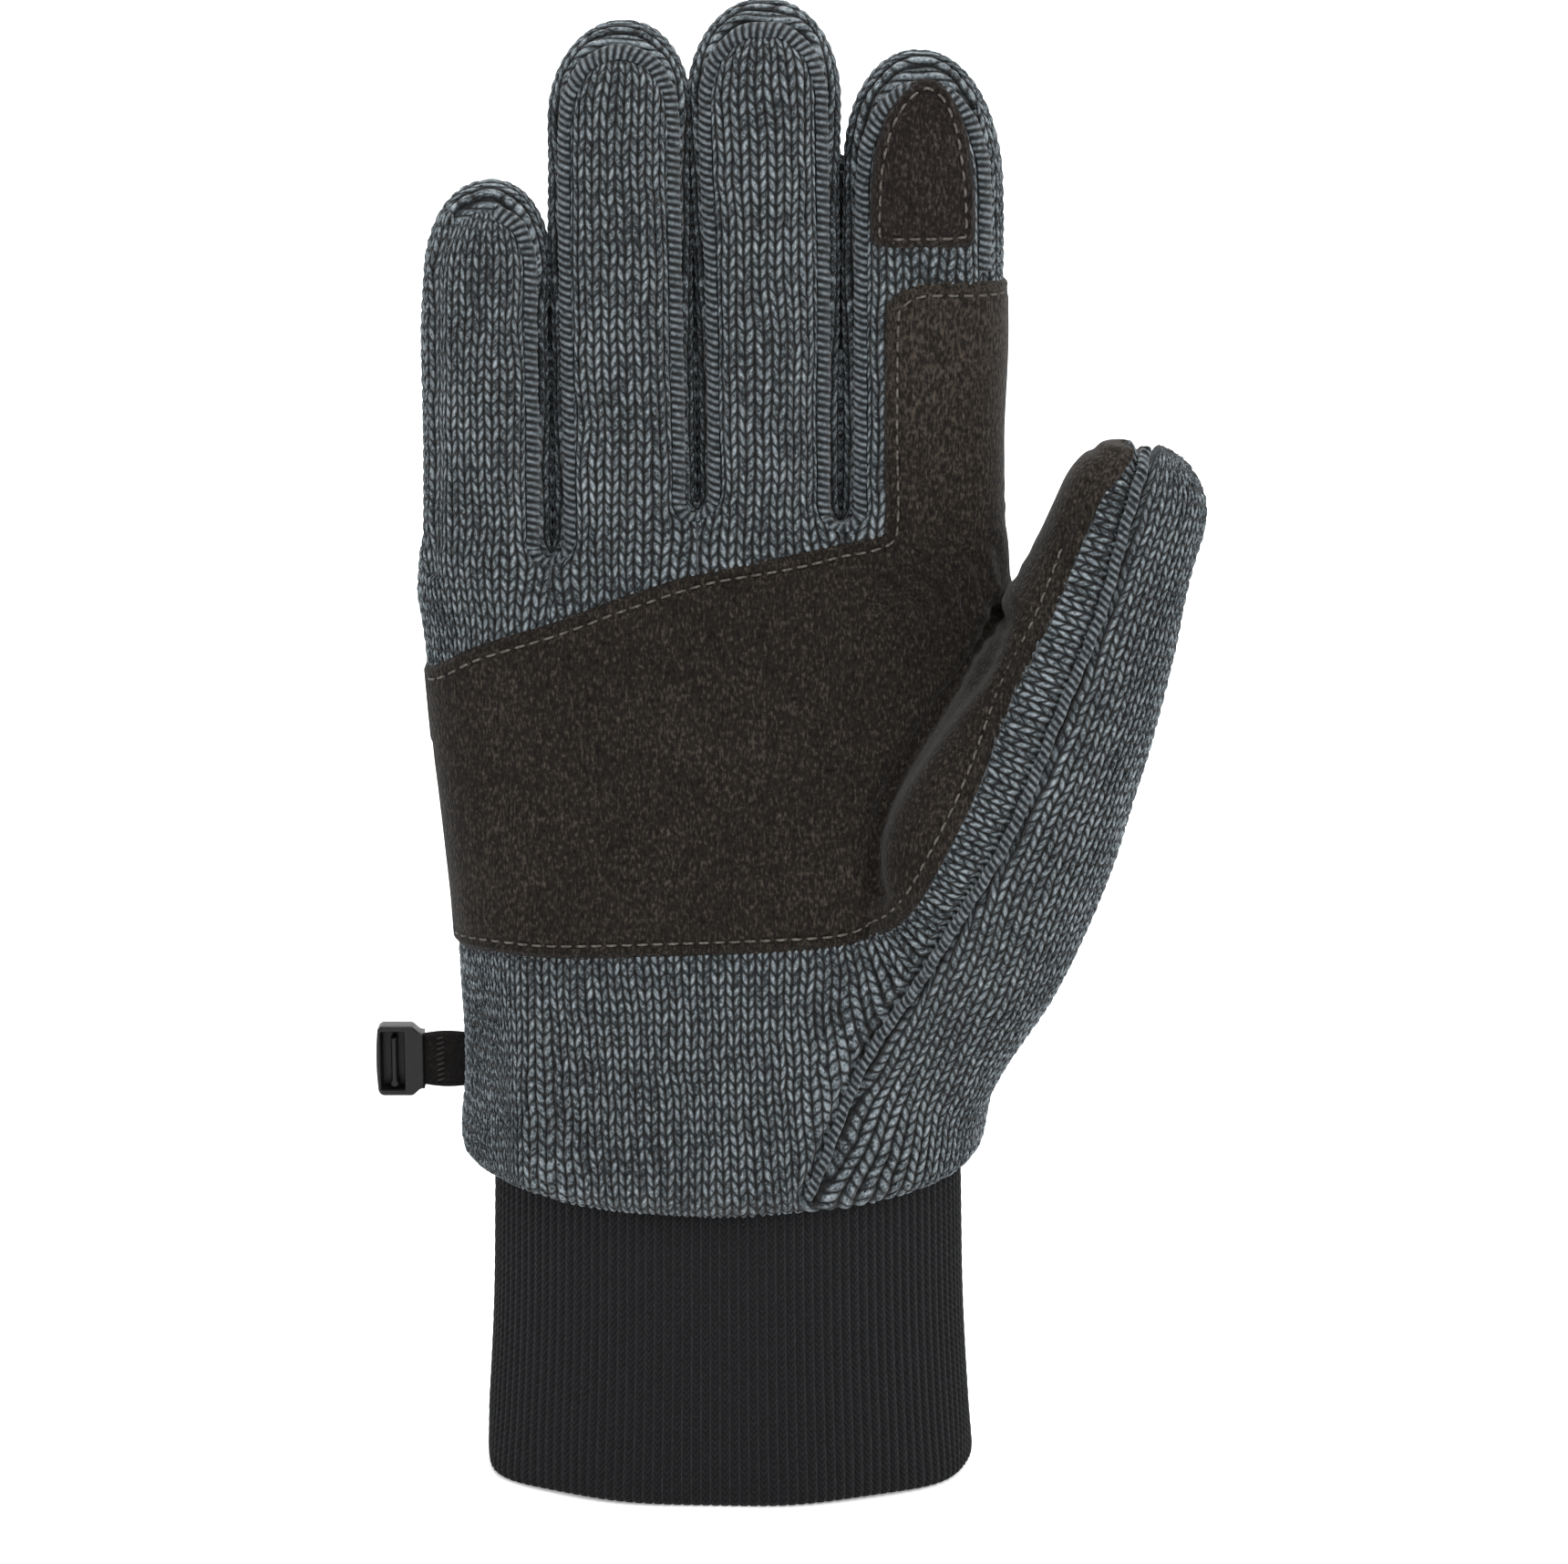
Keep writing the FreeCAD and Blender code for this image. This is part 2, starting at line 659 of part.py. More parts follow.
def cuff():
    """Folded rib-knit cuff and the flat seam that closes it into a tube."""
    inside = cuff_body("cuff_inside", "cuff_wall")
    node(cut("rib_cuff", cuff_body("cuff_outside", "0"), inside), "rib_cuff")
    seam = cut("cuff_seam_ring", inside, cuff_body("cuff_seam_inside", "cuff_wall + cuff_seam_rise"))
    room = box("cuff_seam_room", -FAR, 0, "-cuff_seam_width / 2", "cuff_seam_width / 2", "fold_gap",
               "cuff_height")
    node(common("cuff_closing_seam", seam, room), "cuff_closing_seam")


def join_seam():
    """The overlocked ring that joins cuff, shell and lining, and the label sewn into it."""
    room = box("join_room", -FAR, FAR, -FAR, FAR, "cuff_height + fold_gap",
               "cuff_height + fold_gap + join_height")
    ring = common("join_disc", hand_layers["inside_knit"], room)
    half_width = "(cuff_top_half_width - join_depth)"
    half_depth = "(cuff_top_half_depth - join_depth)"
    low = ellipse("join_low", half_width, half_depth, 0, 0, "cuff_height")
    high = ellipse("join_high", half_width, half_depth, 0, 0,
                   "cuff_height + join_height + 2 * fold_gap")
    node(cut("cuff_join_seam", ring, loft("join_hole", [low, high])), "cuff_join_seam")
    node(box("care_label", "-label_width / 2", "label_width / 2",
             f"{half_depth} - label_thickness - 1.2", f"{half_depth} - 1.2",
             "cuff_height + join_height - label_height", "cuff_height + join_height"),
         "care_label")


# ---------------------------------------------------------------------------
# Webbing strap and clip.
# ---------------------------------------------------------------------------
STRAP_FRONT = "-strap_thickness / 2"
STRAP_BACK = "strap_thickness / 2"
STRAP_LOW = "(strap_z - strap_width / 2)"
STRAP_HIGH = "(strap_z + strap_width / 2)"
ANCHOR_END = "(-bulge_left - strap_root_length)"
STRAP_AXIS = "(-bulge_left - strap_root_length - fold_gap - strap_thickness / 2)"
STRAP_END = f"({STRAP_AXIS} - strap_length)"
CLIP_END = f"({STRAP_END} - clip_length)"
CLIP_LOW = "(strap_z - clip_height / 2)"
CLIP_HIGH = "(strap_z + clip_height / 2)"
WINDOW_LEFT = f"({CLIP_END} + clip_bar)"
WINDOW_RIGHT = f"({CLIP_END} + clip_bar + clip_window)"
WINDOW_LOW = f"({CLIP_LOW} + clip_rail)"
WINDOW_HIGH = f"({CLIP_HIGH} - clip_rail)"
GATE_LEFT = f"({WINDOW_LEFT} + clip_window * 0.3)"
GATE_RADIUS = "gate_thickness / 2"
GATE_Z = f"({WINDOW_LOW} + gate_clearance + {GATE_RADIUS})"
GATE_X = f"({GATE_LEFT} + {GATE_RADIUS})"


def strap():
    """Webbing root sewn into the side seam and the loose strap that folds at it."""
    root = box("strap_root_block", ANCHOR_END, "-bulge_left + 3", STRAP_FRONT, STRAP_BACK,
               STRAP_LOW, STRAP_HIGH)
    node(cut("strap_root", root, hand_layers["skin"]), "strap_root")
    band = box("strap_band", STRAP_END, STRAP_AXIS, STRAP_FRONT, STRAP_BACK, STRAP_LOW, STRAP_HIGH)
    end = add("Part::Cylinder", "strap_fold")
    set_sizes(end, Radius="strap_thickness / 2", Height="strap_width",
              Placement__Base__x=STRAP_AXIS, Placement__Base__z=STRAP_LOW)
    node(fuse("webbing_strap", band, end), "webbing_strap")
    bar_left = f"({STRAP_END} + strap_length * 0.55)"
    tack = box("strap_bartack", bar_left, f"{bar_left} + 1.2", f"{STRAP_FRONT} - thread_rise",
               STRAP_FRONT, f"{STRAP_LOW} + 1", f"{STRAP_HIGH} - 1")
    node(tack, "strap_bartack")


def clip():
    """Moulded clip body with its window, and the sprung gate inside the window."""
    block = box("clip_block", CLIP_END, STRAP_END, "-clip_thickness / 2", "clip_thickness / 2",
                CLIP_LOW, CLIP_HIGH)
    document.recompute()
    rounded = add("Part::Fillet", "clip_rounded")
    rounded.Base = block
    upright = [place for place, edge in enumerate(block.Shape.Edges, start=1)
               if abs(edge.tangentAt(edge.FirstParameter).y) > 0.99]
    radius = number("clip_corner")
    rounded.Edges = [(place, radius, radius) for place in upright]
    window = box("clip_window_room", WINDOW_LEFT, WINDOW_RIGHT, -FAR, FAR, WINDOW_LOW, WINDOW_HIGH)
    node(cut("clip_body", rounded, window), "clip_body")
    gate_bar = box("gate_bar", GATE_LEFT, f"{GATE_LEFT} + gate_thickness",
                   "-clip_thickness / 2 + gate_clearance", "clip_thickness / 2 - gate_clearance",
                   GATE_Z, f"{WINDOW_HIGH} - gate_clearance")
    hub = add("Part::Cylinder", "gate_hub")
    hub.Placement.Rotation = FreeCAD.Rotation(Vector(1, 0, 0), 90)
    set_sizes(hub, Radius=GATE_RADIUS, Height="clip_thickness - 2 * gate_clearance",
              Placement__Base__x=GATE_X, Placement__Base__z=GATE_Z,
              Placement__Base__y="clip_thickness / 2 - gate_clearance")
    node(fuse("clip_gate", gate_bar, hub), "clip_gate")


# ---------------------------------------------------------------------------
# Build, check and write.
# ---------------------------------------------------------------------------
def build():
    """Make every sub-part."""
    hand_shell()
    hand_lining()
    thumb_seam_ridge()
    palm_overlay()
    overlay_stitching()
    thumb_panels()
    for finger in FINGERS:
        skin = finger_panels(finger)
        if finger == "index":
            index_suede(skin)
    cuff()
    join_seam()
    strap()
    clip()


def check_and_write():
    """Stop on any failed object, then write one STEP file for each sub-part."""
    for item in document.Objects:
        if "Invalid" in item.State or "Error" in item.State:
            raise RuntimeError(f"{item.Name} failed: {item.State}")
    for item in NODES:
        if item.Shape.isNull() or not item.Shape.isValid() or not item.Shape.Solids:
            raise RuntimeError(f"{item.Label} has no valid solid")
    os.makedirs("parts", exist_ok=True)
    for item in NODES:
        item.Shape.exportStep(f"parts/{item.Label}.step")
        print(f"{item.Label:26s} solids {len(item.Shape.Solids)}  volume {item.Shape.Volume:9.1f}")
    print("hinge data: strap axis x", round(number(STRAP_AXIS), 3),
          "gate", round(number(GATE_X), 3), round(number(GATE_Z), 3),
          "thumb fold", [round(number(v), 3) for v in thumb_point("0", "thumb_fold_z")])


build()
document.recompute()
check_and_write()
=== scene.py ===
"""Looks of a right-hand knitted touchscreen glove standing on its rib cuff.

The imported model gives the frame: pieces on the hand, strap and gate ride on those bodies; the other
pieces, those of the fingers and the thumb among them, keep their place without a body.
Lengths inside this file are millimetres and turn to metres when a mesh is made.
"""

import logging
import math
from dataclasses import dataclass, field
from enum import Enum, IntEnum
from typing import Callable, Iterator, Optional, Sequence

import bpy
import numpy as np
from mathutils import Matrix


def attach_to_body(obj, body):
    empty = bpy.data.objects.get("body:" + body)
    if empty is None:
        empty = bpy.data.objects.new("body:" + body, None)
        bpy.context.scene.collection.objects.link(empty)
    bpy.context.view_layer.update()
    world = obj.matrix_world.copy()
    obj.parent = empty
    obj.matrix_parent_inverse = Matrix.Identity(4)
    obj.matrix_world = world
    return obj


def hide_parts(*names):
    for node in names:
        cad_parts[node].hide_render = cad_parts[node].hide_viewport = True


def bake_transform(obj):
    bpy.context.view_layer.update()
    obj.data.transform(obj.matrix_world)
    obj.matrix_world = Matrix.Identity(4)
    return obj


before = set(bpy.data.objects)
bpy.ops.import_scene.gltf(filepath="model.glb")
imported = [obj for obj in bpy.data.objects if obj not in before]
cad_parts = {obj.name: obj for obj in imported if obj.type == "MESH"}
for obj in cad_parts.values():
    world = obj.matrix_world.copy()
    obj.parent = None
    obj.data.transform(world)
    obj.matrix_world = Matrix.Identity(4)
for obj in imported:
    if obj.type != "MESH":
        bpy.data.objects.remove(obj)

import openvdb
from mathutils import Vector

Array = np.ndarray
MM = 0.001
LOG = logging.getLogger("glove")
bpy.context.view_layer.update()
FAR = 99.0


# ---- Small numeric helpers ----
def smoothstep(low: float, high: float, value: Array) -> Array:
    """Ease from 0 at low to 1 at high."""
    part = np.clip((value - low) / (high - low), 0.0, 1.0)
    return part * part * (3.0 - 2.0 * part)


def soft_min(one: Array, other: Array, width: float) -> Array:
    """Smooth union of two distances."""
    share = np.clip(width - np.abs(one - other), 0.0, None) / width
    return np.minimum(one, other) - share * share * width * 0.25


def curve_through(at: Array, stations: Sequence[float], values: Sequence[float]) -> Array:
    """A smooth profile through a few points.

    Args:
        at: Places to read.
        stations: Rising places of the given points.
        values: Value at each station.

    Returns:
        Cubic interpolation at each place, held constant past the ends.
    """
    xs = np.asarray(stations, float)
    ys = np.asarray(values, float)
    slopes = np.gradient(ys, xs)
    place = np.clip(np.searchsorted(xs, at) - 1, 0, len(xs) - 2)
    span = xs[place + 1] - xs[place]
    part = np.clip((at - xs[place]) / span, 0.0, 1.0)
    a, b = ys[place], ys[place + 1]
    ma, mb = slopes[place] * span, slopes[place + 1] * span
    sq, cu = part * part, part * part * part
    return (2 * cu - 3 * sq + 1) * a + (cu - 2 * sq + part) * ma + (3 * sq - 2 * cu) * b + (cu - sq) * mb


def unit(vectors: Array) -> Array:
    """Vectors brought to length 1 along their last axis."""
    return vectors / np.maximum(np.linalg.norm(vectors, axis=-1, keepdims=True), 1e-12)


def grid_quads(rows: int, columns: int) -> Array:
    """Quads between the points of a grid that is numbered row by row."""
    grid = np.arange(rows * columns).reshape(rows, columns)
    return np.stack([grid[:-1, :-1], grid[1:, :-1], grid[1:, 1:], grid[:-1, 1:]], axis=-1).reshape(-1, 4)


def lattice_noise(points: Array, size: float, seed: int) -> Array:
    """Seeded smooth value noise.

    Args:
        points: N by 3 positions.
        size: Size of one patch of the noise.
        seed: Choice of pattern.

    Returns:
        One value between -1 and 1 for each point.
    """
    scaled = points / size
    corner = np.floor(scaled).astype(np.int64)
    part = scaled - corner
    part = part * part * (3.0 - 2.0 * part)
    total = np.zeros(len(points))
    for step in range(8):
        shift = np.array([step & 1, (step >> 1) & 1, (step >> 2) & 1])
        cell = corner + shift
        # large odd factors scatter the numbers of the cells
        key = cell[:, 0] * 73856093 ^ cell[:, 1] * 19349663 ^ cell[:, 2] * 83492791 ^ seed * 2654435761
        key = (key ^ (key >> 13)) * 1274126177 & 0xFFFFFFFF
        value = (key ^ (key >> 16)) / 2147483648.0 - 1.0
        total += value * np.prod(np.where(shift == 1, part, 1.0 - part), axis=1)
    return total


# ---- Outlines seen from the palm side, as points (x, z) ----
@dataclass
class Route:
    """A smooth line in the plane of the palm, through a few points."""

    points: Sequence[tuple[float, float]]
    closed: bool = False
    line: Array = field(init=False)
    length: Array = field(init=False)

    def __post_init__(self) -> None:
        """Sample the line and measure it."""
        self.line = self._smooth(np.asarray(self.points, float))
        steps = np.linalg.norm(np.diff(self.line, axis=0), axis=1)
        self.length = np.concatenate([[0.0], np.cumsum(steps)])

    def _smooth(self, base: Array) -> Array:
        """Catmull-Rom samples of the line.

        Args:
            base: The points to pass.

        Returns:
            Samples along the line.
        """
        count = len(base)
        samples = []
        for run in range(count if self.closed else count - 1):
            ids = [run - 1, run, run + 1, run + 2]
            ids = [i % count for i in ids] if self.closed else [min(max(i, 0), count - 1) for i in ids]
            a, b, c, d = (base[i] for i in ids)
            for part in np.linspace(0.0, 1.0, 10, endpoint=False):
                samples.append(0.5 * (2 * b + (c - a) * part + (2 * a - 5 * b + 4 * c - d) * part ** 2
                                      + (3 * b - a - 3 * c + d) * part ** 3))
        samples.append(base[0] if self.closed else base[-1])
        return np.array(samples)

    def nearest(self, spots: Array) -> tuple[Array, Array, Array]:
        """Distance, place along the line and side for each spot.

        Args:
            spots: N by 2 positions (x, z).

        Returns:
            Distance to the line, length along it at the nearest point, and +1 on its left side.
        """
        best = np.full(len(spots), 1e9)
        along = np.zeros(len(spots))
        side = np.ones(len(spots))
        for index in range(len(self.line) - 1):
            a, b = self.line[index], self.line[index + 1]
            step = b - a
            size = max(float(step @ step), 1e-12)
            part = np.clip(((spots - a) @ step) / size, 0.0, 1.0)
            gap = spots - (a + part[:, None] * step)
            distance = np.hypot(gap[:, 0], gap[:, 1])
            nearer = distance < best
            best[nearer] = distance[nearer]
            along[nearer] = self.length[index] + part[nearer] * math.sqrt(size)
            cross = step[0] * gap[:, 1] - step[1] * gap[:, 0]
            side[nearer] = np.where(cross[nearer] >= 0, 1.0, -1.0)
        return best, along, side

    def inside(self, spots: Array) -> Array:
        """Signed distance to a closed line, positive inside.

        Args:
            spots: N by 2 positions (x, z).

        Returns:
            Distance to the line, negative for spots outside it.
        """
        distance, _, _ = self.nearest(spots)
        x, z = spots[:, 0], spots[:, 1]
        crossed = np.zeros(len(spots), bool)
        for index in range(len(self.line) - 1):
            (ax, az), (bx, bz) = self.line[index], self.line[index + 1]
            between = (az > z) != (bz > z)
            rise = bz - az if bz != az else 1e-9
            crossed ^= between & (x < (bx - ax) * (z - az) / rise + ax)
        return np.where(crossed, distance, -distance)

    def walk(self, spacing: float, start: float = 0.0, stop: Optional[float] = None) -> Array:
        """Evenly spaced points of the line.

        Args:
            spacing: Length between points.
            start: Length where the walk starts.
            stop: Length where it stops, or None for the end.

        Returns:
            The points (x, z).
        """
        end = self.length[-1] if stop is None else stop
        count = max(2, int(round((end - start) / spacing)) + 1)
        places = np.linspace(start, end, count)
        return np.column_stack([np.interp(places, self.length, self.line[:, i]) for i in (0, 1)])


# ---- The form under the cloth ----
@dataclass
class FingerForm:
    """Outer form of one gloved finger.

    Attributes:
        heights: Stations of the profiles, from the knuckle up.
        centres: Middle of the finger at each station.
        half_widths: Half width at each station.
        tip: Height of the fingertip.
        dome: Height of the rounded end.
        depth: Half thickness.
        curl: How far the tip leans towards the palm.
        cut: Height where the finger's own cloth starts.
        low_left: Height of the crotch on the left.
        low_right: Height of the crotch on the right.
    """

    heights: Sequence[float]
    centres: Sequence[float]
    half_widths: Sequence[float]
    tip: float
    dome: float
    depth: float
    curl: float
    cut: float
    low_left: float
    low_right: float

    def centre(self, z: Array) -> Array:
        """Middle of the finger at height z."""
        return curve_through(z, self.heights, self.centres)

    def lean(self, z: Array) -> Array:
        """Depth of the finger's middle line at height z."""
        part = np.clip((z - self.cut) / (self.tip - self.cut), 0.0, 1.2)
        return -self.curl * part * part

    def distance(self, points: Array) -> Array:
        """Distance to the finger's surface, negative inside.

        Args:
            points: N by 3 positions.

        Returns:
            Approximate distances.
        """
        x, y, z = points.T
        wide = curve_through(z, self.heights, self.half_widths)
        across = np.abs(x - self.centre(z)) / wide
        deep = np.abs(y - self.lean(z)) / self.depth
        ring = across ** 2.3 + deep ** 2.3
        end = np.clip((z - (self.tip - self.dome)) / self.dome, 0.0, None)
        level = (ring ** (2.15 / 2.3) + end ** 2.15) ** (1 / 2.15)
        small = np.minimum(wide, self.depth)
        # below the knuckle the finger sinks into the palm, so that the two do not swell where they meet
        sunk = 5.0 * smoothstep(184.0, 158.0, z)
        return np.maximum((level - 1.0) * small * 0.92 + sunk, 150.0 - z)


@dataclass
class ThumbForm:
    """Outer form of the gloved thumb, in a frame that leans to the right.

    Attributes:
        base: Origin of the leaning frame (x, y, z).
        lean_degrees: Lean of the thumb from the vertical.
        heights: Stations along the thumb.
        centres: Sideways place of its middle line at each station.
        half_widths: Half width at each station.
        fronts: Forward place of its middle line at each station.
        flatness: Depth over width.
        tip: Length of the thumb.
        dome: Height of the rounded end.
        cut: Station where the thumb's own cloth starts.
    """

    base: tuple[float, float, float] = (41.0, -9.0, 100.0)
    lean_degrees: float = 20.7
    heights: Sequence[float] = (-40.0, -22.0, 5.0, 22.0, 36.0, 51.0, 68.0, 87.0, 112.0)
    centres: Sequence[float] = (1.0, 0.2, 0.3, -1.2, -1.6, -0.6, 0.4, 0.3, 0.0)
    half_widths: Sequence[float] = (9.0, 13.6, 19.2, 21.2, 21.2, 19.4, 16.8, 13.9, 12.6)
    fronts: Sequence[float] = (5.0, 2.0, -3.0, -6.0, -7.0, -6.0, -3.6, -1.4, 0.0)
    flatness: float = 0.82
    tip: float = 109.6
    dome: float = 13.5
    cut: float = 70.0

    def local(self, points: Array) -> Array:
        """Positions in the leaning frame.

        Args:
            points: N by 3 positions of the glove.

        Returns:
            N by 3 positions: across, forward and along the thumb.
        """
        turn = math.radians(self.lean_degrees)
        shifted = points - np.array(self.base)
        across = shifted[:, 0] * math.cos(turn) - shifted[:, 2] * math.sin(turn)
        along = shifted[:, 0] * math.sin(turn) + shifted[:, 2] * math.cos(turn)
        return np.column_stack([across, shifted[:, 1], along])

    def spot(self, across: float, along: float) -> tuple[float, float]:
        """Glove position (x, z) of a place in the leaning frame."""
        turn = math.radians(self.lean_degrees)
        x = self.base[0] + across * math.cos(turn) + along * math.sin(turn)
        z = self.base[2] - across * math.sin(turn) + along * math.cos(turn)
        return x, z

    def distance(self, points: Array) -> Array:
        """Distance to the thumb's surface, negative inside.

        Args:
            points: N by 3 positions.

        Returns:
            Approximate distances.
        """
        across, forward, along = self.local(points).T
        wide = curve_through(along, self.heights, self.half_widths)
        side = np.abs(across - curve_through(along, self.heights, self.centres)) / wide
        deep = np.abs(forward - curve_through(along, self.heights, self.fronts)) / (wide * self.flatness)
        ring = side ** 2.2 + deep ** 2.2
        end = np.clip((along - (self.tip - self.dome)) / self.dome, 0.0, None)
        start = np.clip((-14.0 - along) / 22.0, 0.0, None)
        level = (ring ** (2.1 / 2.2) + end ** 2.1 + start ** 2.1) ** (1 / 2.1)
        return (level - 1.0) * wide * self.flatness * 0.95


@dataclass
class GloveForm:
    """Outer skin of the whole knitted glove above its cuff."""

    fingers: dict[str, FingerForm] = field(default_factory=lambda: {
        "little": FingerForm((175, 200, 222, 236, 252), (-44.6, -44.1, -43.9, -43.4, -42.4),
                             (12.0, 11.9, 11.6, 11.3, 10.9), 250.0, 16.0, 12.0, 4.0, 183.2, 248.6, 183.0),
        "ring": FingerForm((178, 205, 230, 258, 280), (-18.7, -18.6, -18.9, -18.9, -18.2),
                           (13.2, 13.2, 13.2, 12.9, 12.4), 278.8, 18.0, 12.3, 5.0, 191.6, 183.0, 191.4),
        "middle": FingerForm((180, 205, 235, 262, 284), (8.0, 8.0, 7.7, 7.1, 7.3),
                             (13.1, 13.1, 13.3, 13.6, 13.1), 282.7, 18.0, 12.5, 5.5, 191.6, 191.4, 188.8),
        "index": FingerForm((178, 205, 232, 248, 275), (36.1, 36.1, 36.0, 36.0, 35.3),
                            (14.7, 14.7, 14.7, 14.5, 13.8), 273.6, 24.0, 12.4, 5.0, 188.8, 188.8, 234.5),
    })
    thumb: ThumbForm = field(default_factory=ThumbForm)
    levels: Sequence[float] = (52.0, 60.0, 68.0, 77.0, 90.0, 105.0, 130.0, 158.0, 180.0, 194.0)
    left: Sequence[float] = (-48.0, -49.6, -50.8, -50.4, -50.4, -51.0, -53.0, -55.7, -56.5, -56.6)
    right: Sequence[float] = (46.0, 47.0, 47.9, 46.4, 46.5, 48.0, 50.0, 51.0, 50.9, 50.8)
    front: Sequence[float] = (-29.5, -30.2, -30.0, -27.8, -25.5, -23.5, -20.0, -16.6, -14.2, -12.6)
    back: Sequence[float] = (29.0, 29.6, 29.4, 27.4, 26.0, 24.6, 21.4, 17.4, 14.2, 12.6)
    hem: float = 59.0

    @property
    def bodies(self) -> list[str]:
        """Bodies of the cloth, in the order of their numbers."""
        return ["hand", *self.fingers, "thumb"]

    def strips(self, x: Array) -> Iterator[tuple[int, FingerForm, Array]]:
        """The fingers and the strip of the hand under each.

        Args:
            x: Sideways places.

        Yields:
            Number of the finger, the finger, and which places lie in its strip.
        """
        fingers = list(self.fingers.values())
        gaps = [(one.centres[0] + one.half_widths[0] + other.centres[0] - other.half_widths[0]) / 2
                for one, other in zip(fingers, fingers[1:])]
        edges = [-FAR, *gaps, FAR]
        for number, finger in enumerate(fingers, start=1):
            yield number, finger, (x > edges[number - 1]) & (x <= edges[number])

    def palm(self, points: Array) -> Array:
        """Distance to the body of the hand, negative inside.

        Args:
            points: N by 3 positions.

        Returns:
            Approximate distances.
        """
        x, y, z = points.T
        low, high = curve_through(z, self.levels, self.left), curve_through(z, self.levels, self.right)
        near, far = curve_through(z, self.levels, self.front), curve_through(z, self.levels, self.back)
        half, deep = (high - low) / 2, (far - near) / 2
        across = np.abs(x - (low + high) / 2) / half
        inward = np.abs(y - (near + far) / 2) / deep
        power = 2.2 + 0.9 * smoothstep(70.0, 160.0, z)
        level = (across ** power + inward ** power) ** (1 / power)
        body = (level - 1.0) * deep * 0.95
        # the hem rolls in over the cuff, lowest in front
        sag = self.hem + 2.2 * np.abs(x / 50.0) ** 2
        edge = sag - z
        roll = 5.5
        rounded = np.maximum(body + roll, edge + roll)
        corner = np.hypot(np.clip(body + roll, 0, None), np.clip(edge + roll, 0, None))
        body = np.where(rounded > 0, corner, rounded) - roll
        top = z - curve_through(x, (-58.0, -31.0, -1.0, 24.0, 51.0), (180.0, 180.4, 189.2, 186.4, 186.4))
        sunk = 4.0 * smoothstep(172.0, 192.0, z)
        return np.maximum(body + sunk, top)

    def skin(self, points: Array) -> Array:
        """Distance to the outside of the knit, negative inside.

        Args:
            points: N by 3 positions.

        Returns:
            Approximate distances.
        """
        total = self.palm(points)
        digits = None
        for finger in self.fingers.values():
            one = finger.distance(points)
            digits = one if digits is None else soft_min(digits, one, 0.4)
        total = soft_min(total, digits, 5.0)
        thumb = self.thumb.distance(points)
        # a sharp valley where the thumb folds over the palm, and a soft one low down
        width = 1.4 + 7.0 * smoothstep(116.0, 88.0, points[:, 2]) + 5.0 * smoothstep(-8.0, 4.0, points[:, 1])
        return soft_min(total, thumb, width)

    def slope(self, points: Array, step: float) -> Array:
        """Change of the skin's distance over twice a step along each axis."""
        shifts = np.eye(3) * step
        return np.column_stack([self.skin(points + shift) - self.skin(points - shift) for shift in shifts])

    def normal(self, points: Array) -> Array:
        """Outward unit directions of the skin at the points."""
        return unit(self.slope(points, 0.35))

    def settle(self, points: Array, rounds: int = 3) -> Array:
        """Move points onto the skin.

        Args:
            points: N by 3 positions near the skin.
            rounds: How many times to correct.

        Returns:
            The moved points.
        """
        step = 0.3
        for _ in range(rounds):
            slope = self.slope(points, step) / (2 * step)
            # a point never moves far in one round
            move = np.clip(self.skin(points) / np.maximum((slope * slope).sum(axis=1), 0.05), -1.5, 1.5)
            points = points - slope * move[:, None]
        return points

    def front_depth(self, spots: Array, start: float = -44.0) -> Array:
        """First points of the skin met when looking along +Y at each spot.

        Args:
            spots: N by 2 positions (x, z).
            start: Depth where the look starts.

        Returns:
            N by 3 points on the skin.
        """
        points = np.column_stack([spots[:, 0], np.full(len(spots), start), spots[:, 1]])
        for _ in range(70):
            points[:, 1] += np.clip(self.skin(points) * 0.8, -2.0, 6.0)
        return points


# ---- Mesh tools ----
@dataclass
class Cloth:
    """Points, faces and outward directions of a stretch of cloth."""

    points: Array
    faces: Array
    normals: Array

    def part(self, keep: Array) -> "Cloth":
        """The faces that are kept, with only their own points.

        Args:
            keep: One truth value for each face.

        Returns:
            The smaller cloth.
        """
        faces = self.faces[keep]
        used, renamed = np.unique(faces, return_inverse=True)
        return Cloth(self.points[used], renamed.reshape(faces.shape), self.normals[used])


def triangles(faces: Array) -> Array:
    """Quads split into triangles."""
    return np.vstack([faces[:, [0, 1, 2]], faces[:, [0, 2, 3]]]) if faces.shape[1] == 4 else faces


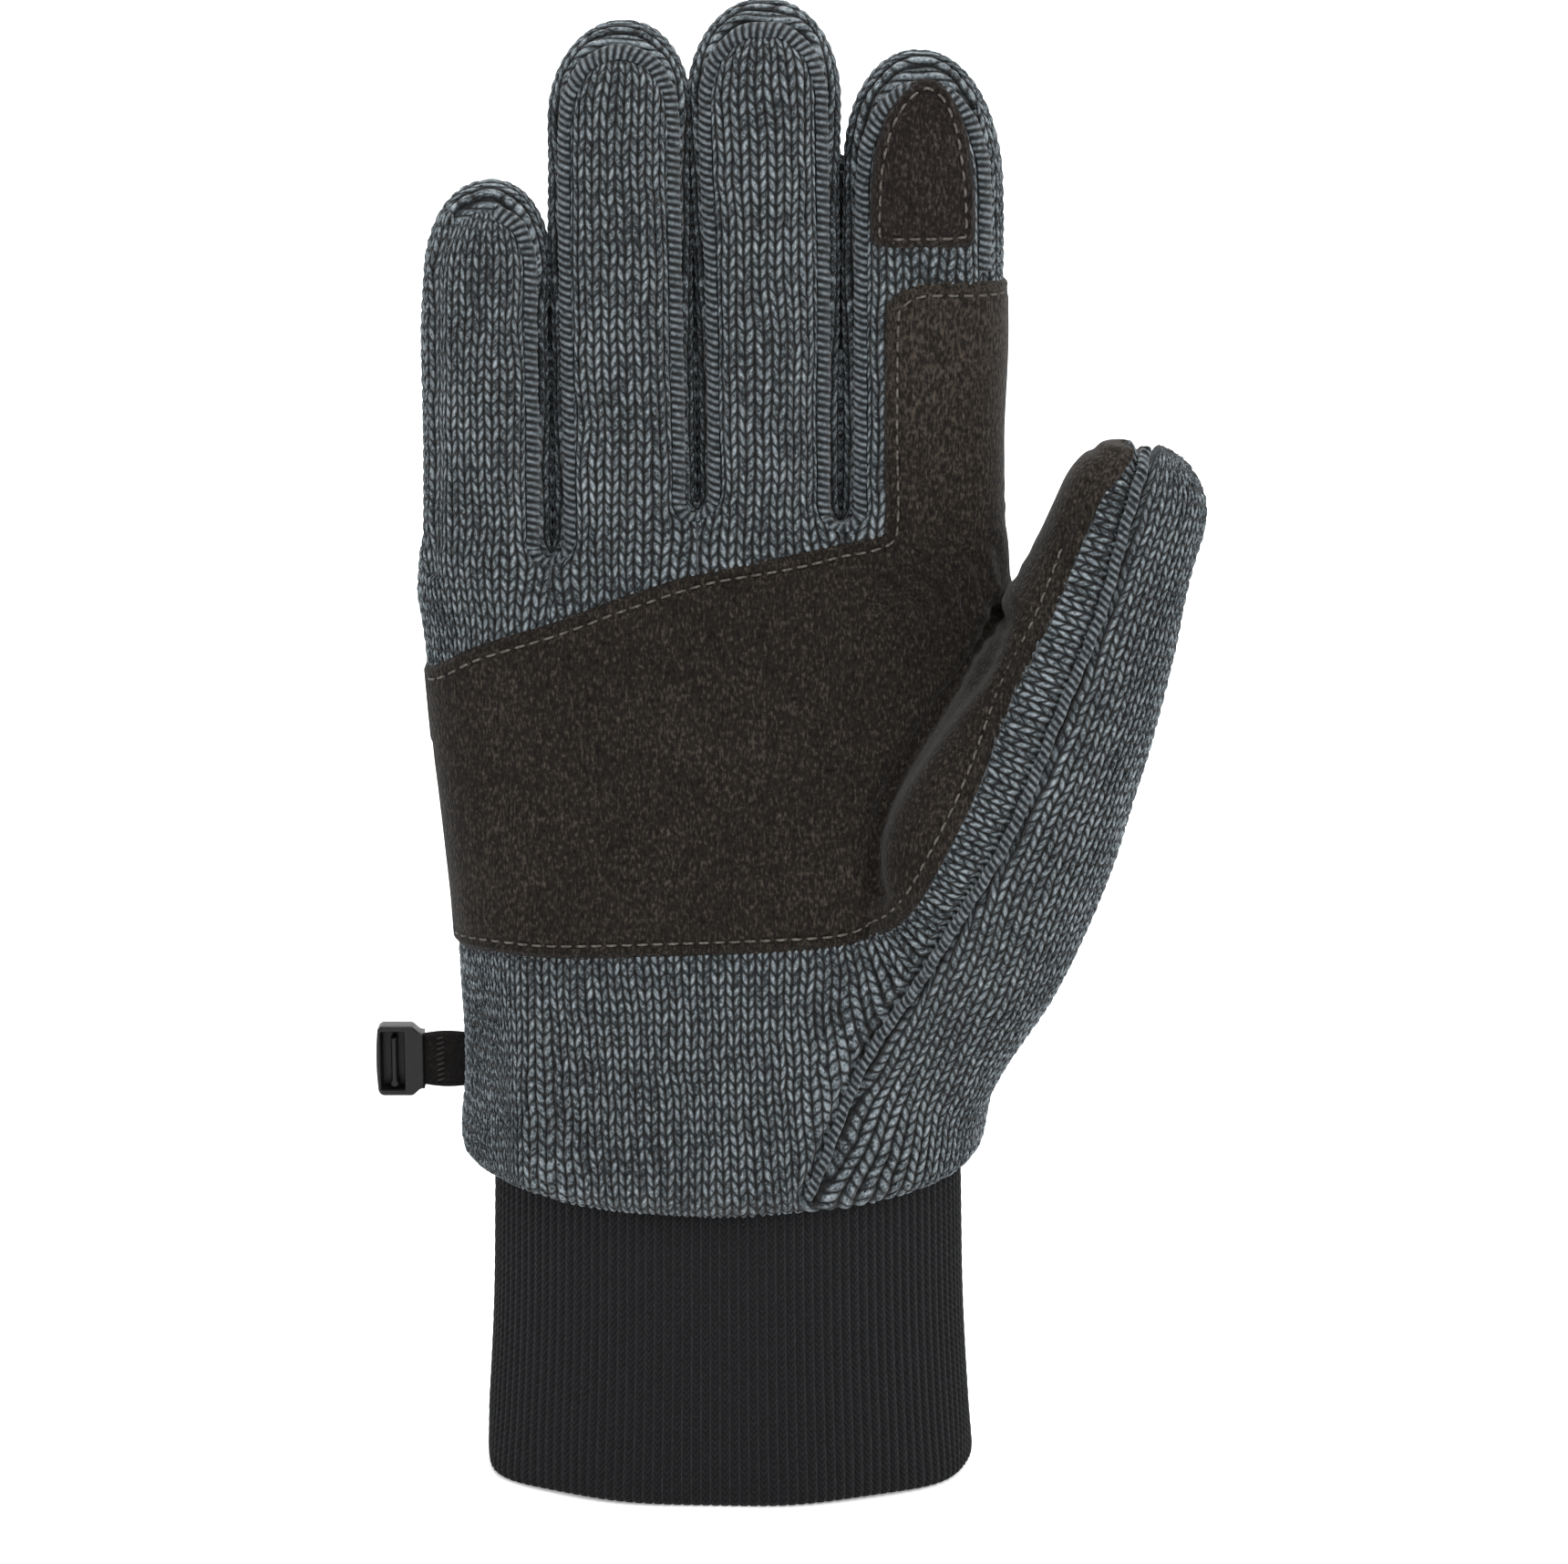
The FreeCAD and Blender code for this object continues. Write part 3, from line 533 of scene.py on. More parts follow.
def clip(cloth: Cloth, level: Array) -> tuple[Cloth, Array]:
    """Cut a cloth along the line where level is zero and keep the positive side.

    Args:
        cloth: The cloth to cut.
        level: One value for each point.

    Returns:
        The kept cloth, and the level at each of its points.
    """
    faces = triangles(cloth.faces)
    inside = level > 0
    count = inside[faces].sum(axis=1)
    parts = [faces[count == 3]]
    mixed = faces[(count == 1) | (count == 2)]
    new_points = []
    table: dict[tuple[int, int], int] = {}
    base = len(cloth.points)

    def crossing(a: int, b: int) -> int:
        """Number of the new point between a and b, made once."""
        key = (a, b) if a < b else (b, a)
        if key not in table:
            table[key] = base + len(new_points)
            share = level[key[0]] / (level[key[0]] - level[key[1]])
            new_points.append((key[0], key[1], share))
        return table[key]

    extra = []
    for face in mixed.tolist():
        flags = [bool(inside[i]) for i in face]
        if sum(flags) == 1:
            turn = flags.index(True)
            a, b, c = face[turn], face[(turn + 1) % 3], face[(turn + 2) % 3]
            extra.append((a, crossing(a, b), crossing(c, a)))
        else:
            turn = flags.index(False)
            a, b, c = face[turn], face[(turn + 1) % 3], face[(turn + 2) % 3]
            ab, ca = crossing(a, b), crossing(c, a)
            extra.append((ab, b, c))
            extra.append((ab, c, ca))
    if extra:
        parts.append(np.array(extra))
    faces = np.vstack(parts)
    points, normals, values = cloth.points, cloth.normals, level
    if new_points:
        ends = np.array(new_points)
        first, second = ends[:, 0].astype(int), ends[:, 1].astype(int)
        share = ends[:, 2:3]
        points = np.vstack([points, points[first] * (1 - share) + points[second] * share])
        normals = np.vstack([normals, unit(normals[first] * (1 - share) + normals[second] * share)])
        values = np.concatenate([values, np.zeros(len(ends))])
    used, renamed = np.unique(faces, return_inverse=True)
    return Cloth(points[used], renamed.reshape(faces.shape), normals[used]), values[used]


def border_edges(faces: Array) -> Array:
    """Directed edges that only one face uses.

    Args:
        faces: M by 3 point numbers.

    Returns:
        K by 2 point numbers, in the direction of their face.
    """
    edges = np.vstack([faces[:, [i, (i + 1) % faces.shape[1]]] for i in range(faces.shape[1])])
    ordered = np.sort(edges, axis=1)
    _, first, count = np.unique(ordered, axis=0, return_index=True, return_counts=True)
    return edges[first[count == 1]]


def surface_normals(points: Array, faces: Array) -> Array:
    """Area-weighted normals of a mesh.

    Args:
        points: N by 3 positions.
        faces: M by 3 or M by 4 point numbers.

    Returns:
        N by 3 unit vectors.
    """
    tri = triangles(faces)
    cross = np.cross(points[tri[:, 1]] - points[tri[:, 0]], points[tri[:, 2]] - points[tri[:, 0]])
    total = np.zeros_like(points)
    for corner in range(3):
        for axis in range(3):
            total[:, axis] += np.bincount(tri[:, corner], cross[:, axis], len(points))
    return unit(total)


def make_object(name: str, points: Array, faces: Array, materials: Sequence[bpy.types.Material],
                fabric: Optional[Array] = None, normals: Optional[Array] = None,
                slots: Optional[Array] = None) -> bpy.types.Object:
    """A smooth-shaded mesh object in metres.

    Args:
        name: Name of the object.
        points: N by 3 positions in millimetres.
        faces: M by 3 or M by 4 point numbers.
        materials: Finishes of the object.
        fabric: N by 2 places in the cloth, in millimetres.
        normals: N by 3 directions to shade with.
        slots: Material number of each face.

    Returns:
        The new object.
    """
    mesh = bpy.data.meshes.new(name)
    count, sides = faces.shape
    mesh.vertices.add(len(points))
    mesh.vertices.foreach_set("co", (points * MM).astype(np.float32).ravel())
    mesh.loops.add(count * sides)
    mesh.loops.foreach_set("vertex_index", faces.astype(np.int32).ravel())
    mesh.polygons.add(count)
    mesh.polygons.foreach_set("loop_start", np.arange(0, count * sides, sides, dtype=np.int32))
    for material in materials:
        mesh.materials.append(material)
    if slots is not None:
        mesh.polygons.foreach_set("material_index", slots.astype(np.int32))
    if fabric is not None:
        layer = mesh.uv_layers.new(name="fabric")
        layer.data.foreach_set("uv", fabric[faces.ravel()].astype(np.float32).ravel())
    mesh.update(calc_edges=True)
    mesh.polygons.foreach_set("use_smooth", np.ones(count, bool))
    if normals is not None:
        mesh.normals_split_custom_set_from_vertices(normals.astype(np.float32).tolist())
    item = bpy.data.objects.new(name, mesh)
    bpy.context.scene.collection.objects.link(item)
    return item


def tubes(paths: Sequence[Array], radius: float, sides: int = 6) -> tuple[Array, Array]:
    """Round threads along short paths, closed at both ends.

    Args:
        paths: One array of points for each thread, all of one length.
        radius: Radius of the thread.
        sides: Sides of its section.

    Returns:
        Points and quad faces of all threads.
    """
    lines = np.asarray(paths, float)
    count, length, _ = lines.shape
    ahead = unit(np.gradient(lines, axis=1))
    helper = np.where(np.abs(ahead[..., 1:2]) < 0.9, np.array([0.0, 1.0, 0.0]), np.array([1.0, 0.0, 0.0]))
    side = unit(np.cross(ahead, helper))
    up = np.cross(side, ahead)
    taper = np.ones(length)
    taper[0] = taper[-1] = 0.35
    angles = np.linspace(0, 2 * math.pi, sides, endpoint=False)[None, None, :, None]
    ring = side[:, :, None] * np.cos(angles) + up[:, :, None] * np.sin(angles)
    points = lines[:, :, None] + ring * radius * taper[None, :, None, None]
    grid = np.arange(count * length * sides).reshape(count, length, sides)
    a, b = grid[:, :-1, :], grid[:, 1:, :]
    quads = np.stack([a, np.roll(a, -1, axis=2), np.roll(b, -1, axis=2), b], axis=-1).reshape(-1, 4)
    caps = []
    for end, flip in ((0, True), (length - 1, False)):
        ring_ids = grid[:, end, :]
        for k in range(1, sides - 2, 2):
            quad = ring_ids[:, [0, k, k + 1, min(k + 2, sides - 1)]]
            caps.append(quad[:, ::-1] if flip else quad)
    return points.reshape(-1, 3), np.vstack([quads] + caps)


# ---- Finishes ----
def linear(colour: str) -> tuple[float, float, float, float]:
    """Linear colour of an sRGB hex colour such as "#7A8084"."""
    parts = [int(colour[i:i + 2], 16) / 255 for i in (1, 3, 5)]
    turned = [p / 12.92 if p <= 0.04045 else ((p + 0.055) / 1.055) ** 2.4 for p in parts]
    return (*turned, 1.0)


class NodeSheet:
    """A material's node tree, with one short way to add to it."""

    def __init__(self, name: str) -> None:
        """Start an empty material of this name."""
        self.material = bpy.data.materials.new(f"looks_{name}")
        self.material.use_nodes = True
        self.tree = self.material.node_tree
        self.tree.nodes.clear()

    def add(self, kind: str, *values: object, stops: Sequence[tuple[float, str]] = (),
            at: Optional[dict] = None, **settings: object) -> bpy.types.Node:
        """Add one node.

        Args:
            kind: Type of the node, and after a space its operation where it has one.
            values: Node, socket or value for its first inputs, in order.
            stops: Place and colour of each stop of a ramp.
            at: The same for other inputs, by number.
            settings: The same for inputs by name, or a property of the node.

        Returns:
            The new node.
        """
        kind, _, operation = kind.partition(" ")
        item = self.tree.nodes.new(f"ShaderNode{kind}")
        if operation:
            item.operation = operation
        numbered = {**dict(enumerate(values)), **(at or {})}
        sockets = [(item.inputs[number], value) for number, value in numbered.items()]
        for name, value in settings.items():
            socket = item.inputs.get(name.replace("_", " "))
            if socket is None:
                setattr(item, name, value)
            else:
                sockets.append((socket, value))
        for socket, value in sockets:
            if isinstance(value, bpy.types.Node):
                value = value.outputs[0]
            if isinstance(value, bpy.types.NodeSocket):
                self.tree.links.new(value, socket)
            else:
                socket.default_value = value
        for number, (place, colour) in enumerate(stops):
            elements = item.color_ramp.elements
            element = elements[number] if number < len(elements) else elements.new(place)
            element.position = place
            element.color = linear(colour)
        return item

    def finish(self, colour: object, roughness: object, **plain: object) -> bpy.types.Material:
        """Add the surface with its colour, its roughness and other values, and end the material."""
        surface = self.add("BsdfPrincipled", Base_Color=colour, Roughness=roughness, **plain)
        self.add("OutputMaterial", surface)
        return self.material


@dataclass(frozen=True)
class SweaterKnit:
    """Wool-blend jersey in a marled yarn: one dark and one pale strand are spun together.

    The pale strand shows on each stitch leg; the gaps between the legs are darkened with painted shade.
    """

    name: str = "sweater_knit"
    wale: float = 2.75
    course: float = 2.3
    slant: float = 0.85
    tone: float = 0.045

    def make(self) -> bpy.types.Material:
        """The knit material."""
        sheet = NodeSheet(self.name)
        add = sheet.add
        place = add("UVMap", uv_map="fabric")
        split = add("SeparateXYZ", place).outputs
        solid = add("TexCoord").outputs["Object"]
        column = add("Math DIVIDE", split[0], self.wale)
        inside = add("Math FRACT", column)
        spread = add("Math MULTIPLY", add("Math ABSOLUTE", add("Math SUBTRACT", inside, 0.5)), 2.0)
        row = add("Math ADD", add("Math DIVIDE", split[1], self.course),
                         add("Math MULTIPLY", spread, -self.slant))
        stroke = add("Math FRACT", row)
        leg = add("Math SINE", add("Math MULTIPLY", spread, math.pi))
        belly = add("Math SINE", add("Math MULTIPLY", stroke, math.pi))
        height = add("Math MULTIPLY", add("Math POWER", add("Math MAXIMUM", leg, 0.0), 0.8),
                            add("Math POWER", add("Math MAXIMUM", belly, 0.0), 0.55))
        # each leg shows its own share of the pale strand
        ids = add("CombineXYZ", add("Math FLOOR", add("Math MULTIPLY", column, 2.0)), add("Math FLOOR", row))
        own = add("TexWhiteNoise", Vector=ids, noise_dimensions="2D")
        # fibres of about 0.15 mm run along the leg; drawn coarser than real wool
        along = add("CombineXYZ", add("Math MULTIPLY", column, 17.0), add("Math MULTIPLY", row, 3.2))
        fibre = add("TexNoise", Vector=along, Scale=1.0, Detail=3.0)
        marl = add("TexNoise", Vector=solid, Scale=1700.0, Detail=3.0)
        patchy = add("TexNoise", Vector=solid, Scale=60.0, Detail=2.0)
        pale = add("Math ADD", add("Math MULTIPLY", own, 0.16), add("Math MULTIPLY", fibre, 0.55))
        pale = add("Math ADD", pale, add("Math MULTIPLY", marl, 0.85))
        pale = add("Math ADD", pale, add("Math MULTIPLY_ADD", patchy, 0.25, self.tone - 0.42))
        yarn = add("ValToRGB", pale, stops=((0.22, "#0B0F11"), (0.40, "#2A3033"), (0.55, "#5F676B"),
                                            (0.75, "#858D91"), (1.0, "#A2A9AC")))
        # painted shade: the yarn colour is multiplied down with the stitch height, darkest in the gaps
        # between legs
        shade = add("ValToRGB", height, stops=((0.05, "#040506"), (0.45, "#5C5C5C"), (0.85, "#FFFFFF")))
        colour = add("Mix", at={0: 1.0, 6: yarn, 7: shade}, data_type="RGBA",
                     blend_type="MULTIPLY").outputs[2]
        raised = add("Math ADD", height, add("Math MULTIPLY", fibre, 0.35))
        relief = add("Bump", Height=raised, Strength=0.9, Distance=0.0006)
        # the fuzz of the wool gives a soft pale edge
        return sheet.finish(colour, 0.95, Specular_IOR_Level=0.10, Sheen_Weight=0.12, Sheen_Roughness=0.55,
                            Normal=relief)


@dataclass(frozen=True)
class RibKnit:
    """Fine dark two-by-one rib in elastic yarn, closer and smoother than the glove's own knit."""

    pitch: float = 1.85
    course: float = 1.25

    def make(self) -> bpy.types.Material:
        """The rib material."""
        sheet = NodeSheet("rib_knit")
        add = sheet.add
        place = add("UVMap", uv_map="fabric")
        split = add("SeparateXYZ", place).outputs
        solid = add("TexCoord").outputs["Object"]
        inside = add("Math FRACT", add("Math DIVIDE", split[0], self.pitch))
        spread = add("Math MULTIPLY", add("Math ABSOLUTE", add("Math SUBTRACT", inside, 0.5)), 2.0)
        row = add("Math ADD", add("Math DIVIDE", split[1], self.course),
                         add("Math MULTIPLY", spread, -1.1))
        belly = add("Math ABSOLUTE", add("Math SINE", add("Math MULTIPLY", row, math.pi)))
        # the bare elastic between two ribs shows as a thin paler line
        line = add("Math GREATER_THAN", spread, 0.86)
        fibre = add("TexNoise", Vector=solid, Scale=1700.0, Detail=2.0)
        # the colour darkens between the stitch bellies as painted shade; the fibre noise is the yarn's own
        level = add("Math ADD", add("Math MULTIPLY", belly, 0.45), add("Math MULTIPLY", fibre, 0.5))
        colour = add("ValToRGB", level, stops=((0.2, "#060607"), (0.55, "#0F0F10"), (0.9, "#212123")))
        share = add("Math MULTIPLY", line, add("Math MULTIPLY", fibre, 0.8))
        colour = add("Mix", at={0: share, 6: colour, 7: linear("#3C3C3E")}, data_type="RGBA").outputs[2]
        height = add("Math MULTIPLY", belly, add("Math SUBTRACT", 1.0, add("Math MULTIPLY", spread, 0.6)))
        relief = add("Bump", Height=height, Strength=0.8, Distance=0.0003)
        return sheet.finish(colour, 0.9, Specular_IOR_Level=0.12, Sheen_Weight=0.03, Normal=relief)


@dataclass(frozen=True)
class BrushedSuede:
    """Synthetic suede: microfibre felt sanded to a short nap that is rubbed smooth in places."""

    name: str = "synthetic_suede"
    dark: str = "#0C0A08"
    middle: str = "#1B1815"
    light: str = "#443D36"
    fade: float = 0.055

    def make(self) -> bpy.types.Material:
        """The suede material."""
        sheet = NodeSheet(self.name)
        add = sheet.add
        solid = add("TexCoord").outputs["Object"]
        stretch = add("Mapping", Vector=solid, Scale=(1.0, 1.0, 0.35))
        # nap bundles of about 0.4 mm lie mostly upright, drawn coarser than the fibre itself
        nap = add("TexNoise", Vector=stretch, Scale=2400.0, Detail=4.0)
        grain = add("TexNoise", Vector=solid, Scale=1300.0, Detail=3.0)
        rub = add("TexNoise", Vector=solid, Scale=45.0, Detail=3.0)
        level = add("Math ADD", add("Math MULTIPLY", nap, 0.62), add("Math MULTIPLY", grain, 0.38))
        level = add("Math ADD", level, add("Math MULTIPLY_ADD", rub, 0.10, -0.05))
        # the suede is made paler with height, from 172 mm up to 212 mm, with a soft change at the knuckle
        high = add("SeparateXYZ", solid).outputs[2]
        paler = add("MapRange", high, 0.172, 0.212, 0.0, self.fade, interpolation_type="SMOOTHSTEP")
        level = add("Math ADD", level, paler)
        colour = add("ValToRGB", level, stops=((0.34, self.dark), (0.52, self.middle), (0.74, self.light)))
        raised = add("Math ADD", nap, add("Math MULTIPLY", grain, 0.8))
        relief = add("Bump", Height=raised, Strength=0.75, Distance=0.0004)
        return sheet.finish(colour, 0.95, Specular_IOR_Level=0.08, Sheen_Weight=0.08, Sheen_Roughness=0.4,
                            Normal=relief)


@dataclass(frozen=True)
class SpunThread:
    """Twisted polyester sewing thread, matt with a faint gloss on the twist."""

    name: str = "sewing_thread"
    dark: str = "#2B2825"
    light: str = "#5A554F"
    twists: float = 1500.0

    def make(self) -> bpy.types.Material:
        """The thread material."""
        sheet = NodeSheet(self.name)
        add = sheet.add
        solid = add("TexCoord").outputs["Object"]
        strand = add("TexNoise", Vector=solid, Scale=self.twists, Detail=2.0)
        colour = add("ValToRGB", strand, stops=((0.3, self.dark), (0.65, self.light)))
        relief = add("Bump", Height=strand, Strength=0.5, Distance=0.0002)
        return sheet.finish(colour, 0.7, Specular_IOR_Level=0.3, Normal=relief)


@dataclass(frozen=True)
class OverlockYarn:
    """Woolly looper yarn laid in close rungs over the seam, in the glove's own marl."""

    rung: float = 1.35

    def make(self) -> bpy.types.Material:
        """The overlock material."""
        sheet = NodeSheet("overlock_seam")
        add = sheet.add
        place = add("UVMap", uv_map="fabric")
        split = add("SeparateXYZ", place).outputs
        solid = add("TexCoord").outputs["Object"]
        phase = add("Math MULTIPLY", split[1], math.pi / self.rung)
        thread = add("Math ABSOLUTE", add("Math SINE", phase))
        marl = add("TexNoise", Vector=solid, Scale=1100.0, Detail=3.0)
        # the yarn darkens between the looper threads as painted shade; the marl noise is the yarn's own
        level = add("Math ADD", add("Math MULTIPLY", thread, 0.55), add("Math MULTIPLY", marl, 0.62))
        colour = add("ValToRGB", level, stops=((0.42, "#070A0B"), (0.68, "#24292C"), (0.98, "#6C7377")))
        raised = add("Math ADD", thread, add("Math MULTIPLY", marl, 0.5))
        relief = add("Bump", Height=raised, Strength=0.6, Distance=0.0004)
        return sheet.finish(colour, 0.92, Specular_IOR_Level=0.15, Sheen_Weight=0.2, Normal=relief)


@dataclass(frozen=True)
class FleeceLining:
    """Brushed polyester fleece, dark, seen only inside the cuff."""

    def make(self) -> bpy.types.Material:
        """The fleece material."""
        sheet = NodeSheet("fleece_lining")
        add = sheet.add
        solid = add("TexCoord").outputs["Object"]
        pile = add("TexNoise", Vector=solid, Scale=500.0, Detail=4.0)
        colour = add("ValToRGB", pile, stops=((0.3, "#141416"), (0.7, "#2E2E31")))
        relief = add("Bump", Height=pile, Strength=0.9, Distance=0.0009)
        return sheet.finish(colour, 0.97, Specular_IOR_Level=0.1, Sheen_Weight=0.4, Normal=relief)


@dataclass(frozen=True)
class WovenWebbing:
    """Narrow woven polyester tape with a fine twill."""

    def make(self) -> bpy.types.Material:
        """The webbing material."""
        sheet = NodeSheet("webbing")
        add = sheet.add
        solid = add("TexCoord").outputs["Object"]
        fibre = add("TexNoise", Vector=solid, Scale=1800.0, Detail=3.0)
        colour = add("ValToRGB", fibre, stops=((0.3, "#080706"), (0.6, "#100E0D"), (0.85, "#2A2623")))
        relief = add("Bump", Height=fibre, Strength=0.5, Distance=0.0002)
        return sheet.finish(colour, 0.85, Specular_IOR_Level=0.12, Normal=relief)


@dataclass(frozen=True)
class MouldedAcetal:
    """Injection-moulded acetal, dark, with a spark-eroded satin face."""

    def make(self) -> bpy.types.Material:
        """The clip's plastic."""
        sheet = NodeSheet("clip_plastic")
        add = sheet.add
        solid = add("TexCoord").outputs["Object"]
        texture = add("TexNoise", Vector=solid, Scale=2400.0, Detail=2.0)
        colour = add("ValToRGB", texture, stops=((0.2, "#070707"), (0.8, "#100F0E")))
        relief = add("Bump", Height=texture, Strength=0.12, Distance=0.0001)
        roughness = add("Math MULTIPLY_ADD", texture, 0.15, 0.32)
        return sheet.finish(colour, roughness, Specular_IOR_Level=0.25, Normal=relief)


@dataclass(frozen=True)
class SatinLabel:
    """Woven satin label, off-white, with a faint thread across it."""

    def make(self) -> bpy.types.Material:
        """The label material."""
        sheet = NodeSheet("label_satin")
        add = sheet.add
        solid = add("TexCoord").outputs["Object"]
        weave = add("TexWave", Vector=solid, Scale=500.0).outputs[1]
        colour = add("ValToRGB", weave, stops=((0.0, "#B9B6B0"), (1.0, "#D8D5CF")))
        return sheet.finish(colour, 0.45, Specular_IOR_Level=0.4)


class Finish(Enum):
    """Every finish of the glove, each made once."""

    KNIT = SweaterKnit()
    PALE_KNIT = SweaterKnit(name="sweater_knit_thumb", tone=0.06)
    # a darker copy of the knit for the finger sides: painted shade between the fingers
    SIDE_KNIT = SweaterKnit(name="sweater_knit_side", tone=-0.04)
    RIB = RibKnit()
    SUEDE = BrushedSuede()
    TIP_SUEDE = BrushedSuede(name="synthetic_suede_tip", dark="#0D0B0A", middle="#1C1816", light="#443D3A",
                             fade=0.0)
    THREAD = SpunThread()
    STRAP_THREAD = SpunThread(name="strap_thread", dark="#0D0C0B", light="#24211F")
    OVERLOCK = OverlockYarn()
    FLEECE = FleeceLining()
    WEBBING = WovenWebbing()
    ACETAL = MouldedAcetal()
    LABEL = SatinLabel()

    def material(self) -> bpy.types.Material:
        """The Blender material of this finish, made when it is first asked for."""
        if self not in MADE:
            MADE[self] = self.value.make()
        return MADE[self]


MADE: dict[Finish, bpy.types.Material] = {}


# ---- How a piece is dressed and, on the hand, strap or gate, follows its body ----
BEND_START = 0.5
BEND_REACH = 22.0


def attach(item: bpy.types.Object, body: str, form: Optional[GloveForm]) -> None:
    """Let a piece ride on the hand, strap or gate; a piece of a finger or the thumb only has its placement
    baked into its points.

    Args:
        item: The piece, in place.
        body: Body that it belongs to.
        form: Form of the glove, for the cuts of the fingers and the thumb.
    """
    if body in ("hand", "strap", "gate"):
        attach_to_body(item, body)
        return
    if body == "thumb":
        cut, depth = form.thumb.cut, form.thumb.base[1]
        ends = [form.thumb.spot(0.0, cut + rise) for rise in (BEND_START, BEND_REACH)]
    else:
        finger, depth = form.fingers[body], 0.0
        ends = [(finger.centres[0], finger.cut + rise) for rise in (BEND_START, BEND_REACH)]
    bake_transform(item)


def dress(item: bpy.types.Object, body: str, nodes: Sequence[str] = (),
          form: Optional[GloveForm] = None) -> bpy.types.Object:
    """Give a piece its body where attach gives one, and hide the frame's nodes that it stands for.

    Args:
        item: The piece, in place.
        body: Body that it belongs to.
        nodes: Nodes of the frame that it replaces.
        form: Form of the glove, passed on to attach.

    Returns:
        The piece.
    """
    attach(item, body, form)
    if nodes:
        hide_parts(*nodes)
    LOG.info("%s: %d faces", item.name, len(item.data.polygons))
    return item


# ---- Knitted shell ----
OVERLAY_FOOT = (
    (-62.0, 105.0), (-51.0, 106.6), (-43.3, 107.6), (-32.8, 107.8), (-15.0, 108.8), (8.0, 109.6),
    (22.0, 110.4), (29.5, 113.6), (35.0, 120.0), (40.4, 130.9), (46.3, 143.7), (52.6, 159.4),
    (59.2, 172.1), (67.7, 192.5))
FOOT_BEND = (46.3, 143.7)


@dataclass
class Pattern:
    """Outlines of the cut pieces, seen from the palm side.

    Attributes:
        overlay: Outline of the palm's suede, with the facing of the thumb.
        overlay_foot: The overlay's lower and thumb edge, from the left side seam to the thumb.
        patch: Outline of the touch patch on the index fingertip.
        thumb_fold: Line along which the suede folds at the thumb's root.
        thumb_seam: Seam between the palm and the thumb gusset, from the hem up.
    """

    overlay: Route = field(default_factory=lambda: Route((
        (-62.0, 158.8), (-54.8, 160.6), (-46.1, 165.5), (-30.9, 170.7), (-18.4, 175.4), (-2.7, 180.0),
        (15.6, 183.4), (27.6, 186.0), (29.4, 189.5), (29.2, 205.0), (29.3, 226.5), (30.6, 230.2),
        (34.2, 232.6), (39.0, 233.1), (50.0, 232.6), (64.0, 232.0), (64.0, 214.0), (66.0, 204.5),
        (74.0, 202.8), (73.6, 200.4), (70.6, 196.8), *OVERLAY_FOOT[::-1]), closed=True))
    overlay_foot: Route = field(default_factory=lambda: Route(OVERLAY_FOOT))
    patch: Route = field(default_factory=lambda: Route((
        (26.6, 240.2), (26.4, 247.0), (26.9, 254.5), (28.6, 261.5), (31.8, 266.8), (36.2, 269.3),
        (40.4, 267.0), (43.0, 261.6), (44.4, 254.5), (45.1, 247.0), (45.0, 240.4), (42.6, 239.2),
        (35.0, 239.0), (28.6, 239.0)), closed=True))
    thumb_fold: Route = field(default_factory=lambda: Route((
        (50.5, 171.0), (47.0, 163.0), (40.6, 155.0), (34.1, 145.4), (29.5, 136.6), (27.5, 128.2),
        (28.6, 121.0))))
    thumb_seam: Route = field(default_factory=lambda: Route((
        (15.1, 63.4), (17.8, 69.1), (26.0, 88.4), (34.9, 103.2), (42.6, 118.0), (51.0, 133.1),
        (56.2, 145.0), (60.2, 154.8), (68.5, 174.2), (73.3, 191.5), (77.2, 203.4))))


